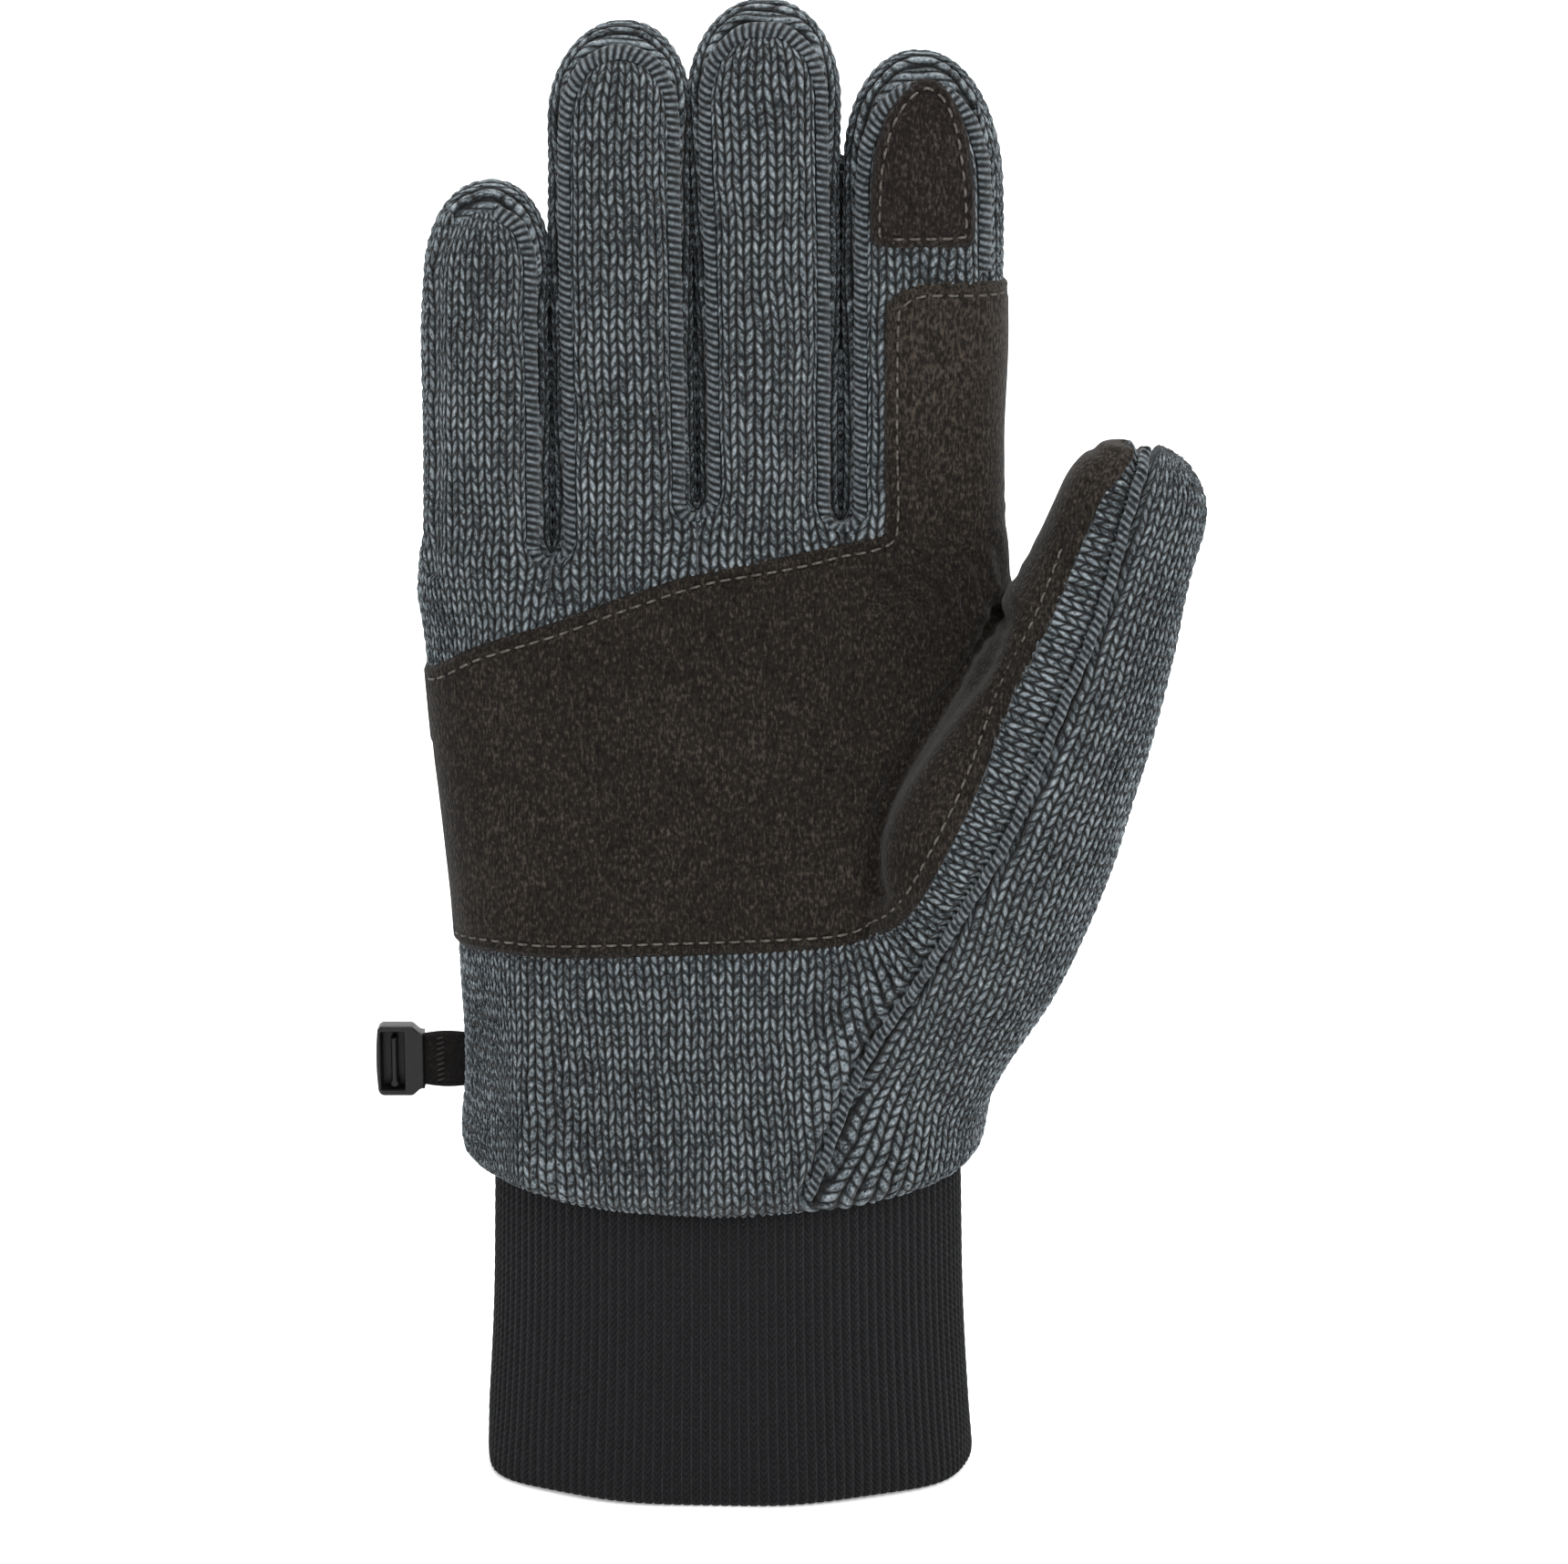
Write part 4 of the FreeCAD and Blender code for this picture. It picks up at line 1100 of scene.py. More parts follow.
@dataclass
class SkinMesh:
    """The glove's skin as one fine mesh, before it is cut into panels.

    Attributes:
        form: The form under the cloth.
        pattern: The outlines of the pieces.
        pitch: Size of the first, coarser faces; the skin's own faces are half as large.
        seam_depth: Depth of the side seams in front of the finger's middle.
    """

    form: GloveForm
    pattern: Pattern
    pitch: float = 0.95
    seam_depth: float = 8.6
    low_corner: tuple[float, float, float] = (-61.0, -36.0, 55.0)
    high_corner: tuple[float, float, float] = (94.0, 35.0, 288.0)

    def surface(self, offset: float, pitch: float) -> tuple[Array, Array]:
        """Quads on one level of the form.

        Args:
            offset: Distance of the level from the outer skin.
            pitch: Size of the quads.

        Returns:
            Points and faces.
        """
        axes = [np.arange(a, b, pitch) for a, b in zip(self.low_corner, self.high_corner)]
        shape = tuple(len(axis) for axis in axes)
        values = np.empty(shape, np.float32)
        for index, x in enumerate(axes[0]):
            y, z = np.meshgrid(axes[1], axes[2], indexing="ij")
            spots = np.column_stack([np.full(y.size, x), y.ravel(), z.ravel()])
            values[index] = (self.form.skin(spots) - offset).reshape(y.shape)
        grid = openvdb.FloatGrid()
        grid.background = 5.0
        grid.copyFromArray(values)
        points, quads = grid.convertToQuads(0.0)
        points = np.asarray(points, float) * pitch + np.array(self.low_corner)
        return points, np.asarray(quads, np.int64)

    def build(self) -> Cloth:
        """The settled skin, twice as fine as its first quads.

        Returns:
            The skin with outward normals.
        """
        points, quads = self.surface(0.0, self.pitch)
        points = self.form.settle(points, rounds=2)
        points, quads = self.refine(points, quads)
        points = self.form.settle(points, rounds=2)
        normals = self.form.normal(points)
        face_normal = surface_normals(points, quads)
        if float((face_normal * normals).sum(axis=1).mean()) < 0:
            quads = quads[:, ::-1]
        return Cloth(points, quads, normals)

    @staticmethod
    def refine(points: Array, quads: Array) -> tuple[Array, Array]:
        """Split each quad into four.

        Args:
            points: N by 3 positions.
            quads: M by 4 point numbers.

        Returns:
            Points and faces of the finer mesh.
        """
        edges = np.vstack([np.sort(quads[:, [i, (i + 1) % 4]], axis=1) for i in range(4)])
        unique, place = np.unique(edges, axis=0, return_inverse=True)
        place = place.reshape(4, -1) + len(points)
        middles = (points[unique[:, 0]] + points[unique[:, 1]]) / 2
        centres = points[quads].mean(axis=1)
        heart = np.arange(len(quads)) + len(points) + len(middles)
        parts = [np.column_stack([quads[:, i], place[i], heart, place[(i + 3) % 4]]) for i in range(4)]
        return np.vstack([points, middles, centres]), np.vstack(parts)


class Zone(IntEnum):
    """Which panel of the shell a face belongs to."""

    FRONT = 1
    BACK = 2
    SIDE = 3
    GUSSET = 4
    THUMB_BACK = 5


@dataclass
class KnitShell:
    """The knitted panels, cut from the skin and raised into wales.

    Attributes:
        skin: The skin mesh.
        knit: The finish whose sizes the relief follows.
        relief: Height of a wale.
        seam_sink: How deep the cloth sinks at a seam.
        smallest: Fewest faces that make a piece of their own.
    """

    skin: SkinMesh
    knit: SweaterKnit = field(default_factory=SweaterKnit)
    relief: float = 0.8
    seam_sink: float = 0.9
    smallest: int = 30
    cloth: Cloth = field(init=False)

    def __post_init__(self) -> None:
        """Build the fine skin once."""
        self.form = self.skin.form
        self.pattern = self.skin.pattern
        self.cloth = self.skin.build()
        LOG.info("skin of %d faces", len(self.cloth.faces))

    def body_of(self, points: Array) -> Array:
        """Number of the body each point belongs to: 0 hand, 1 to 4 fingers, 5 thumb."""
        x, _, z = points.T
        body = np.zeros(len(points), int)
        across, _, along = self.form.thumb.local(points).T
        for number, finger, inside in self.form.strips(x):
            away = across < -14.0 if number == 4 else True
            body[inside & (z > finger.cut) & away] = number
        thumb = (along > self.form.thumb.cut) & (across > -21.0) & (body == 0)
        thumb |= (along > self.form.thumb.cut) & (across > -19.5) & (x > 52.0)
        body[thumb] = 5
        return body

    def seam_level(self, points: Array) -> tuple[Array, Array]:
        """How far each point is behind the front seam and in front of the back seam.

        Args:
            points: N by 3 positions.

        Returns:
            Signed distances to the front seam plane and to the back seam plane.
        """
        x, y, z = points.T
        lean = np.zeros(len(points))
        depth = self.skin.seam_depth
        for _, finger, inside in self.form.strips(x):
            lean[inside] = finger.lean(z[inside])
        return y - lean + depth, y - lean - depth

    def zones(self, points: Array) -> Array:
        """Panel of each point, as Zone values."""
        x, y, z = points.T
        front, back = self.seam_level(points)
        zone = np.where(y > 0, Zone.BACK, Zone.FRONT)
        outer = (x < -49.0) | ((x > 45.0) & (x < 56.0))
        zone[(front > 0) & (back < 0) & (z > 176.0) & ~outer] = Zone.SIDE
        zone[outer & (front > 0) & (y < 3.0)] = Zone.FRONT
        across, _, along = self.form.thumb.local(points).T
        _, _, side = self.pattern.thumb_seam.nearest(points[:, [0, 2]])
        right = side < 0
        on_thumb = right & (y < 0.0) & (across > -16.0) & (x > 12.0)
        top = (along > 66.0) & (across > -20.0) & (x > 52.0) & (y < 3.0) & right
        zone[(on_thumb | top) & (zone != Zone.SIDE)] = Zone.GUSSET
        zone[(x > 54.0) & (zone == Zone.SIDE) & right] = Zone.GUSSET
        zone[(x > 54.0) & (zone == Zone.SIDE)] = Zone.FRONT
        zone[(zone == Zone.BACK) & (x > 50.5) & (along > 20.0) & (z < 208.0)] = Zone.THUMB_BACK
        return zone

    def near_tip(self, points: Array) -> Array:
        """Whether each point is on the rounded end of a finger, which catches the light."""
        x, _, z = points.T
        near = np.zeros(len(points), bool)
        for _, finger, inside in self.form.strips(x):
            near |= inside & (z > finger.tip - 15.0)
        return near

    def fabric(self, points: Array, zone: Zone) -> Array:
        """Place of each point in the cloth, across and along its wales.

        Args:
            points: N by 3 positions.
            zone: The panel.

        Returns:
            N by 2 places in millimetres.
        """
        x, y, z = points.T
        if zone in (Zone.GUSSET, Zone.THUMB_BACK):
            thumb = self.form.thumb
            across, forward, along = thumb.local(points).T
            wide = curve_through(along, thumb.heights, thumb.half_widths)
            side = across - curve_through(along, thumb.heights, thumb.centres)
            front = curve_through(along, thumb.heights, thumb.fronts) - forward
            front = front if zone == Zone.GUSSET else -front
            turn = np.arctan2(side / wide, front / (wide * thumb.flatness))
            return np.column_stack([turn * (wide + 17.0) * 0.5, along])
        v = self.over_the_tip(points)
        if zone == Zone.SIDE:
            return np.column_stack([y + 0.35 * np.abs(y), v])
        u = np.empty(len(points))
        facing = 1.0 if zone == Zone.FRONT else -1.0
        for _, finger, inside in self.form.strips(x):
            wide = curve_through(z[inside], finger.heights, finger.half_widths)
            off = x[inside] - finger.centre(z[inside])
            deep = (finger.lean(z[inside]) - y[inside]) * facing
            arc = np.arctan2(off / wide, deep / finger.depth) * 12.8
            blend = smoothstep(168.0, 190.0, z[inside])
            flat = self.palm_arc(points[inside], zone, finger)
            u[inside] = finger.centres[0] + flat * (1 - blend) + arc * blend
        if zone == Zone.FRONT:
            self.follow_the_suede(points, u, v)
        return np.column_stack([u, v])

    def follow_the_suede(self, points: Array, u: Array, v: Array) -> None:
        """Turn the wales below the suede square to its lower edge, in place.

        Args:
            points: N by 3 positions on the palm.
            u: Places across the wales.
            v: Places along the wales.
        """
        x, _, z = points.T
        foot, thumb = self.pattern.overlay_foot, self.form.thumb
        distance, along, side = foot.nearest(points[:, [0, 2]])
        below = (side < 0) & ((z < 175.0) | (x > 44.0))
        little = self.form.fingers["little"]
        turned = self.palm_arc(points, Zone.FRONT, little) - (x - little.centres[0])
        u[below] = (along - 62.0 + np.minimum(turned, 0.0))[below]
        v[below] = 110.0 - distance[below]
        # beside the thumb the wales run straight across it
        local = thumb.local(points)
        _, mark, _ = foot.nearest(np.array([FOOT_BEND]))
        level = thumb.local(np.array([[FOOT_BEND[0], thumb.base[1], FOOT_BEND[1]]]))[0, 2]
        share = smoothstep(38.0, 52.0, local[:, 2]) * (x > 36.0) * below
        u[:] = u * (1.0 - share) + (local[:, 2] - level + mark[0] - 62.0) * share
        v[:] = v * (1.0 - share) + (110.0 - local[:, 0] - 12.0) * share

    def over_the_tip(self, points: Array) -> Array:
        """Place along the finger, followed over its rounded end so that the rows keep their height."""
        x, _, z = points.T
        place = z.copy()
        for _, finger, inside in self.form.strips(x):
            start = finger.tip - finger.dome
            top = inside & (z > start) & (z > 208.0)
            angle = np.arcsin(np.clip((z[top] - start) / finger.dome, 0.0, 1.0))
            place[top] = start + angle * (finger.dome * 0.6 + finger.depth * 0.4)
        return place

    def palm_arc(self, points: Array, zone: Zone, finger: FingerForm) -> Array:
        """Place across the palm or the back of the hand, followed round its sides.

        Args:
            points: N by 3 positions.
            zone: The panel.
            finger: The finger that the places are counted from.

        Returns:
            Lengths in millimetres.
        """
        x, y, z = points.T
        form = self.form
        low, high = curve_through(z, form.levels, form.left), curve_through(z, form.levels, form.right)
        face = curve_through(z, form.levels, form.front if zone == Zone.FRONT else form.back)
        share = np.abs(x - (low + high) / 2) / ((high - low) / 2)
        turned = np.abs(y - face) * smoothstep(0.72, 1.0, share) * 0.85
        return x - finger.centres[0] + np.sign(x) * turned

    def pull(self, points: Array) -> Array:
        """How much of the wale relief is left beside the seams, from 0 to 1."""
        front, back = self.seam_level(points)
        # at the back the seam runs flat over the fingertips
        near = np.minimum(np.abs(front), np.abs(back) + 5.0 * self.near_tip(points))
        fade = np.where(points[:, 2] > 178.0, smoothstep(0.4, 2.2, near), 1.0)
        distance, _, _ = self.pattern.thumb_seam.nearest(points[:, [0, 2]])
        seam = np.where(points[:, 1] < 2.0, smoothstep(0.5, 2.8, distance), 1.0)
        return fade * seam

    def raised(self, cloth: Cloth, zone: Zone) -> tuple[Array, Array]:
        """Points of a panel with wales and stitch legs raised on them.

        Args:
            cloth: The panel's part of the skin.
            zone: The panel.

        Returns:
            The raised points and their places in the cloth.
        """
        fabric = self.fabric(cloth.points, zone)
        # the wales of a soft knit wander, and its rows are not quite level
        wander = lattice_noise(cloth.points, 9.0, 5) * 0.55 + lattice_noise(cloth.points, 3.5, 6) * 0.25
        fabric[:, 0] += wander
        fabric[:, 1] += lattice_noise(cloth.points, 7.0, 7) * 0.8
        column = fabric[:, 0] / self.knit.wale
        spread = np.abs(column - np.floor(column) - 0.5) * 2.0
        row = fabric[:, 1] / self.knit.course - spread * self.knit.slant
        leg = np.sin(spread * math.pi) ** 0.7
        belly = np.sin((row - np.floor(row)) * math.pi) ** 0.6
        left = self.pull(cloth.points)
        height = (leg * (0.45 + 0.55 * belly) - 0.5) * self.relief * (0.25 + 0.75 * left)
        height -= (1.0 - left) * self.seam_sink
        distance, _, side = self.pattern.thumb_seam.nearest(cloth.points[:, [0, 2]])
        trench = np.exp(-((distance * side + 1.4) / 0.75) ** 2)
        trench += 0.6 * np.exp(-((distance * side - 1.5) / 0.7) ** 2)
        height -= 2.1 * trench * (cloth.points[:, 1] < 0.0)
        height += lattice_noise(cloth.points, 14.0, 9) * 0.30
        return cloth.points + cloth.normals * height[:, None], fabric

    def panels(self) -> list[bpy.types.Object]:
        """Cut, raise and dress every knitted panel.

        Returns:
            The panel objects.
        """
        cloth = self.cloth
        middles = cloth.points[cloth.faces].mean(axis=1)
        body = self.body_of(middles)
        zone = self.zones(middles)
        x, y, z = middles.T
        mouth = ((x / 43.5) ** 2 + (y / 23.6) ** 2 < 1.0) & (z < 64.5)
        # no knit is needed under the suede, away from its edge
        spots = middles[:, [0, 2]]
        facing = np.where(x < -20.0, y < -5.0, y < 0.0)
        left_out = mouth | (self.pattern.overlay.inside(spots) > 1.8) & facing
        left_out |= (self.pattern.patch.inside(spots) > 1.8) & (y < 0.0)
        made = []
        for panel in Zone:
            chosen = (zone == panel) & ~left_out
            part = cloth.part(chosen)
            points, fabric = self.raised(part, panel)
            whole = Cloth(points, part.faces, surface_normals(points, part.faces))
            # the side panels take the darker copy of the knit as painted shade between the fingers; their
            # faces on the fingertips keep the plain knit
            finish = {Zone.GUSSET: Finish.PALE_KNIT, Zone.SIDE: Finish.SIDE_KNIT}.get(panel, Finish.KNIT)
            materials = [finish.material(), Finish.KNIT.material()]
            at_tip = self.near_tip(middles[chosen]) & (panel == Zone.SIDE)
            for number, name in enumerate(self.form.bodies):
                keep = body[chosen] == number
                if keep.sum() < self.smallest:
                    continue
                piece = whole.part(keep)
                item = make_object(f"{name}_knit_{panel.name.lower()}", piece.points, piece.faces, materials,
                                   fabric[np.unique(part.faces[keep])], piece.normals, at_tip[keep])
                made.append(dress(item, name, form=self.form))
        return made


# ---- Suede overlays and everything sewn ----
@dataclass
class SuedeOverlays:
    """The suede of the palm, thumb facing and index finger, and the touch patch.

    Attributes:
        shell: The knitted shell that the suede lies on.
        rise: Height of the suede's face over the skin.
        side_limit: Depth where the suede ends at the side seams.
    """

    shell: KnitShell
    rise: float = 0.95
    side_limit: float = 1.5

    def face(self, points: Array, level: Array, plump: float) -> Array:
        """Height of the suede over the skin at each point.

        Args:
            points: N by 3 positions on the skin.
            level: Distance from the suede's edge.
            plump: Height of the soft waves in it.

        Returns:
            Heights in millimetres.
        """
        x, _, z = points.T
        edge = smoothstep(-0.2, 1.3, level)
        height = 0.15 + self.rise * edge
        height += lattice_noise(points, 17.0, 3) * plump * edge
        height += lattice_noise(points, 7.0, 4) * plump * 0.28 * edge
        # the stitch row pulls a shallow channel along the edge
        height -= 0.42 * np.exp(-((level - 2.4) / 0.75) ** 2)
        # creases that run down from the foot of the index finger towards the palm
        along = (x - 30.0) * 0.62 - (z - 187.0) * 0.78
        across = (x - 30.0) * 0.78 + (z - 187.0) * 0.62
        mask = np.exp(-((along - 13.0) / 12.0) ** 2 - ((across + 1.0) / 13.0) ** 2)
        bend = across + 1.6 * np.sin(along * 0.35)
        height += mask * 0.85 * np.sin(bend * 1.55) * smoothstep(0.5, 4.0, level)
        # the suede folds deeply where the thumb comes forward over the palm
        distance, _, _ = self.shell.pattern.thumb_fold.nearest(points[:, [0, 2]])
        height -= 1.9 * np.exp(-(distance / 1.9) ** 2) - 0.5 * np.exp(-((distance - 4.0) / 2.0) ** 2)
        return height

    def cut_out(self, route: Route, zone_limit: Callable[[Array], Array],
                plump: float) -> tuple[Cloth, Array]:
        """A suede piece cut to an outline and raised off the skin.

        Args:
            route: Outline seen from the palm side.
            zone_limit: Distance inside any other limit, from the points.
            plump: Height of the soft waves.

        Returns:
            The raised piece and the skin's outward direction at each of its points.
        """
        cloth = self.shell.cloth
        middles = cloth.points[cloth.faces].mean(axis=1)
        low, high = route.line.min(axis=0) - 1.0, route.line.max(axis=0) + 1.0
        near = middles[:, 1] < self.side_limit + 2.0
        near &= (middles[:, 0] > low[0]) & (middles[:, 0] < high[0])
        near &= (middles[:, 2] > low[1]) & (middles[:, 2] < high[1])
        part = cloth.part(near)
        level = np.minimum(route.inside(part.points[:, [0, 2]]), zone_limit(part.points))
        piece, level = clip(part, level)
        height = self.face(piece.points, level, plump)
        raised = piece.points + piece.normals * height[:, None]
        return Cloth(raised, piece.faces, surface_normals(raised, piece.faces)), piece.normals

    @staticmethod
    def with_rim(cloth: Cloth, outward: Array, depth: float) -> Cloth:
        """Add the cut edge of the suede, down to below the knit.

        Args:
            cloth: The raised piece.
            outward: Skin normals at its points.
            depth: Depth of the cut edge.

        Returns:
            The piece with its edge.
        """
        border = border_edges(cloth.faces)
        used, renamed = np.unique(border, return_inverse=True)
        renamed = renamed.reshape(border.shape)
        top = cloth.points[used]
        foot = top - outward[used] * depth
        base = len(cloth.points)
        upper, lower = renamed + base, renamed + base + len(used)
        walls = np.vstack([np.column_stack([upper[:, 1], upper[:, 0], lower[:, 0]]),
                           np.column_stack([upper[:, 1], lower[:, 0], lower[:, 1]])])
        points = np.vstack([cloth.points, top, foot])
        rim_normals = surface_normals(points, walls)[base:]
        return Cloth(points, np.vstack([cloth.faces, walls]), np.vstack([cloth.normals, rim_normals]))

    def split_and_dress(self, cloth: Cloth, names: dict[int, tuple[str, str, str]],
                        finish: Finish) -> list[bpy.types.Object]:
        """Cut a piece where it leaves one body for the next, and dress the parts.

        Args:
            cloth: The finished piece.
            names: For each body number: body, piece name and the frame's node it stands for.
            finish: Finish of the piece.

        Returns:
            The objects.
        """
        owner = self.shell.body_of(cloth.points[cloth.faces].mean(axis=1))
        owner[~np.isin(owner, list(names))] = min(names)
        made = []
        for number, (body, label, node) in names.items():
            part = cloth.part(owner == number)
            item = make_object(label, part.points, part.faces, [finish.material()], None, part.normals)
            made.append(dress(item, body, [node], self.shell.form))
        return made

    def build(self) -> list[bpy.types.Object]:
        """Make the palm suede with its thumb and index parts, and the touch patch."""
        pattern = self.shell.pattern
        palm, outward = self.cut_out(pattern.overlay, self.limit, 0.32)
        palm = self.with_rim(palm, outward, 1.1)
        made = self.split_and_dress(palm, {
            0: ("hand", "palm_suede", "palm_suede_overlay"),
            4: ("index", "index_suede", "index_suede_overlay"),
            5: ("thumb", "thumb_suede", "thumb_suede_facing")}, Finish.SUEDE)
        patch, outward = self.cut_out(pattern.patch, lambda p: 3.0 - p[:, 1], 0.14)
        patch = self.with_rim(patch, outward, 1.0)
        return made + self.split_and_dress(patch, {4: ("index", "touch_patch", "index_touch_patch")},
                                           Finish.TIP_SUEDE)

    def limit(self, points: Array) -> Array:
        """Distance inside the side seams, where the suede is caught."""
        x, y, _ = points.T
        left = np.where(x < -20.0, -2.5 - y, 9.0)
        right = np.where(x > 20.0, self.side_limit - y, 9.0)
        return np.minimum(left, right)


@dataclass
class SeamWork:
    """Overlocked finger seams, the thumb's corded seam and the rows of stitches.

    Attributes:
        shell: The knitted shell.
        band: Width of an overlocked seam.
        rung: Spacing of the looper threads.
        stitch: Length of a lockstitch.
        gap: Length between two stitches.
    """

    shell: KnitShell
    band: float = 3.1
    rung: float = 1.35
    stitch: float = 2.1
    gap: float = 0.75

    @property
    def form(self) -> GloveForm:
        """The form under the cloth."""
        return self.shell.form

    def finger_path(self, finger: FingerForm, depth: float) -> Array:
        """Line of a finger's seam, up one side, over the tip and down the other.

        Args:
            finger: The finger.
            depth: Depth of the seam plane from the finger's middle, negative in front.

        Returns:
            Evenly spaced points on the skin.
        """
        turn = np.linspace(0.0, 1.0, 260)
        side = {}
        for sign, low in ((-1, finger.low_left), (1, finger.low_right)):
            top = finger.tip - 0.6
            z = low + (top - low) * np.sin(turn * math.pi / 2)
            end = np.clip((z - (finger.tip - finger.dome)) / finger.dome, 0.0, 0.999)
            ring = (1.0 - end ** 2.15) ** (2.3 / 2.15)
            across = np.clip(ring - (abs(depth) / finger.depth) ** 2.3, 0.0, None) ** (1 / 2.3)
            wide = curve_through(z, finger.heights, finger.half_widths)
            x = finger.centre(z) + sign * wide * across
            y = finger.lean(z) + depth
            inside = across > 0
            side[sign] = np.column_stack([x, np.broadcast_to(y, x.shape), z])[inside]
        line = np.vstack([side[-1], side[1][::-1]])
        line = self.even(line, 1.2)
        line = self.form.settle(line, rounds=3)
        for _ in range(3):
            line[1:-1] = (line[:-2] + 2 * line[1:-1] + line[2:]) / 4
        return self.form.settle(self.even(line, 0.27), rounds=2)

    @staticmethod
    def even(line: Array, spacing: float) -> Array:
        """Points spaced evenly along a line."""
        steps = np.linalg.norm(np.diff(line, axis=0), axis=1)
        line = line[np.concatenate([[True], steps > 1e-6])]
        length = np.concatenate([[0.0], np.cumsum(np.linalg.norm(np.diff(line, axis=0), axis=1))])
        places = np.linspace(0.0, length[-1], max(3, int(length[-1] / spacing)))
        return np.column_stack([np.interp(places, length, line[:, i]) for i in range(3)])

    def ladder(self, line: Array, width: float, height: float, rung: float,
               lift: float | Array = 0.0) -> tuple[Cloth, Array]:
        """A rounded band of looper threads that lies along a line.

        Args:
            line: Evenly spaced points on the skin.
            width: Width of the band.
            height: Height of its middle.
            rung: Spacing of the threads.
            lift: Height of the whole band over the skin.

        Returns:
            The band, with its edges sunk into the skin, and its places in the yarn.
        """
        normal = self.form.normal(line)
        sideways = unit(np.cross(unit(np.gradient(line, axis=0)), normal))
        spacing = float(np.linalg.norm(np.diff(line, axis=0), axis=1).mean())
        along = np.arange(len(line)) * spacing
        across = np.linspace(-1.0, 1.0, 11)
        slant = along[:, None] + across[None, :] * 0.45
        thread = np.abs(np.sin(slant * math.pi / rung)) ** 0.8
        shape = np.sqrt(np.clip(1.0 - across ** 2, 0.0, 1.0))
        level = shape[None, :] * height * (0.45 + 0.55 * thread) - 0.35 + np.reshape(lift, (-1, 1))
        wobble = 0.12 * np.sin(along * 0.9)[:, None]
        points = (line[:, None] + sideways[:, None] * (across[None, :, None] * width / 2 + wobble[..., None])
                  + normal[:, None] * level[..., None])
        count, sides = len(line), len(across)
        faces = grid_quads(count, sides)
        flat = points.reshape(-1, 3)
        fabric = np.column_stack([np.tile(across * width / 2, count), slant.ravel()])
        normals = surface_normals(flat, faces)
        if float((normals * np.repeat(normal, sides, axis=0)).sum()) < 0:
            faces = faces[:, ::-1]
            normals = -normals
        return Cloth(flat, faces, normals), fabric

    def finger_seams(self) -> list[bpy.types.Object]:
        """The overlocked seams in front and at the back of each finger, joined round the crotches."""
        made = []
        ends: dict[str, list[Array]] = {}
        for name, finger in self.form.fingers.items():
            sheets = []
            for depth in (-self.shell.skin.seam_depth, self.shell.skin.seam_depth):
                line = self.finger_path(finger, depth)
                front = depth < 0
                sunk = 0.0 if front else -1.6 * smoothstep(finger.tip - 20.0, finger.tip - 10.0, line[:, 2])
                width, height = (self.band, 0.95) if front else (1.8, 0.6)
                sheets.append(self.ladder(line, width, height, self.rung, sunk))
                ends.setdefault(name, []).append(line[[0, -1]])
            made.append(self.band_object(f"{name}_overlock", name, sheets, [f"{name}_edge_seam"]))
        names = list(self.form.fingers)
        webs = []
        for one, other in zip(names[:-1], names[1:]):
            for face in (0, 1):
                start, stop = ends[one][face][1], ends[other][face][0]
                turn = np.linspace(0.0, math.pi, 40)
                middle, half = (start + stop) / 2, (stop - start) / 2
                arc = middle - np.cos(turn)[:, None] * half
                arc[:, 2] -= 2.6 * np.sin(turn)
                arc = self.form.settle(self.even(self.form.settle(arc), 0.27), rounds=3)
                webs.append(self.ladder(arc, self.band * 0.9, 0.95, self.rung))
        made.append(self.band_object("web_overlock", "hand", webs))
        return made

    def band_object(self, label: str, body: str, sheets: Sequence[tuple[Cloth, Array]],
                    nodes: Sequence[str] = ()) -> bpy.types.Object:
        """One object of several bands of looper threads on one body."""
        base = np.cumsum([0] + [len(strip.points) for strip, _ in sheets[:-1]])
        points = np.vstack([strip.points for strip, _ in sheets])
        faces = np.vstack([strip.faces + start for (strip, _), start in zip(sheets, base)])
        normals = np.vstack([strip.normals for strip, _ in sheets])
        fabric = np.vstack([place for _, place in sheets])
        item = make_object(label, points, faces, [Finish.OVERLOCK.material()], fabric, normals)
        return dress(item, body, nodes, self.form)

    def thumb_seam(self) -> list[bpy.types.Object]:
        """The corded seam between palm and thumb gusset, up to the thumb's tip."""
        made = []
        route = self.shell.pattern.thumb_seam
        line = self.form.front_depth(route.walk(0.9))
        line = line[np.abs(self.form.skin(line)) < 0.3]
        line = self.form.settle(self.even(line, 0.3), rounds=2)
        local = self.form.thumb.local(line)[:, 2]
        cut = self.form.thumb.cut
        for body, keep, node in (("hand", local <= cut, "thumb_seam_ridge"),
                                 ("thumb", local >= cut - 0.4, "thumb_tip_seam_ridge")):
            cord = self.ladder(line[keep], 2.0, 1.0, 1.9)
            made.append(self.band_object(f"{body}_thumb_seam", body, [cord], [node]))
        return made

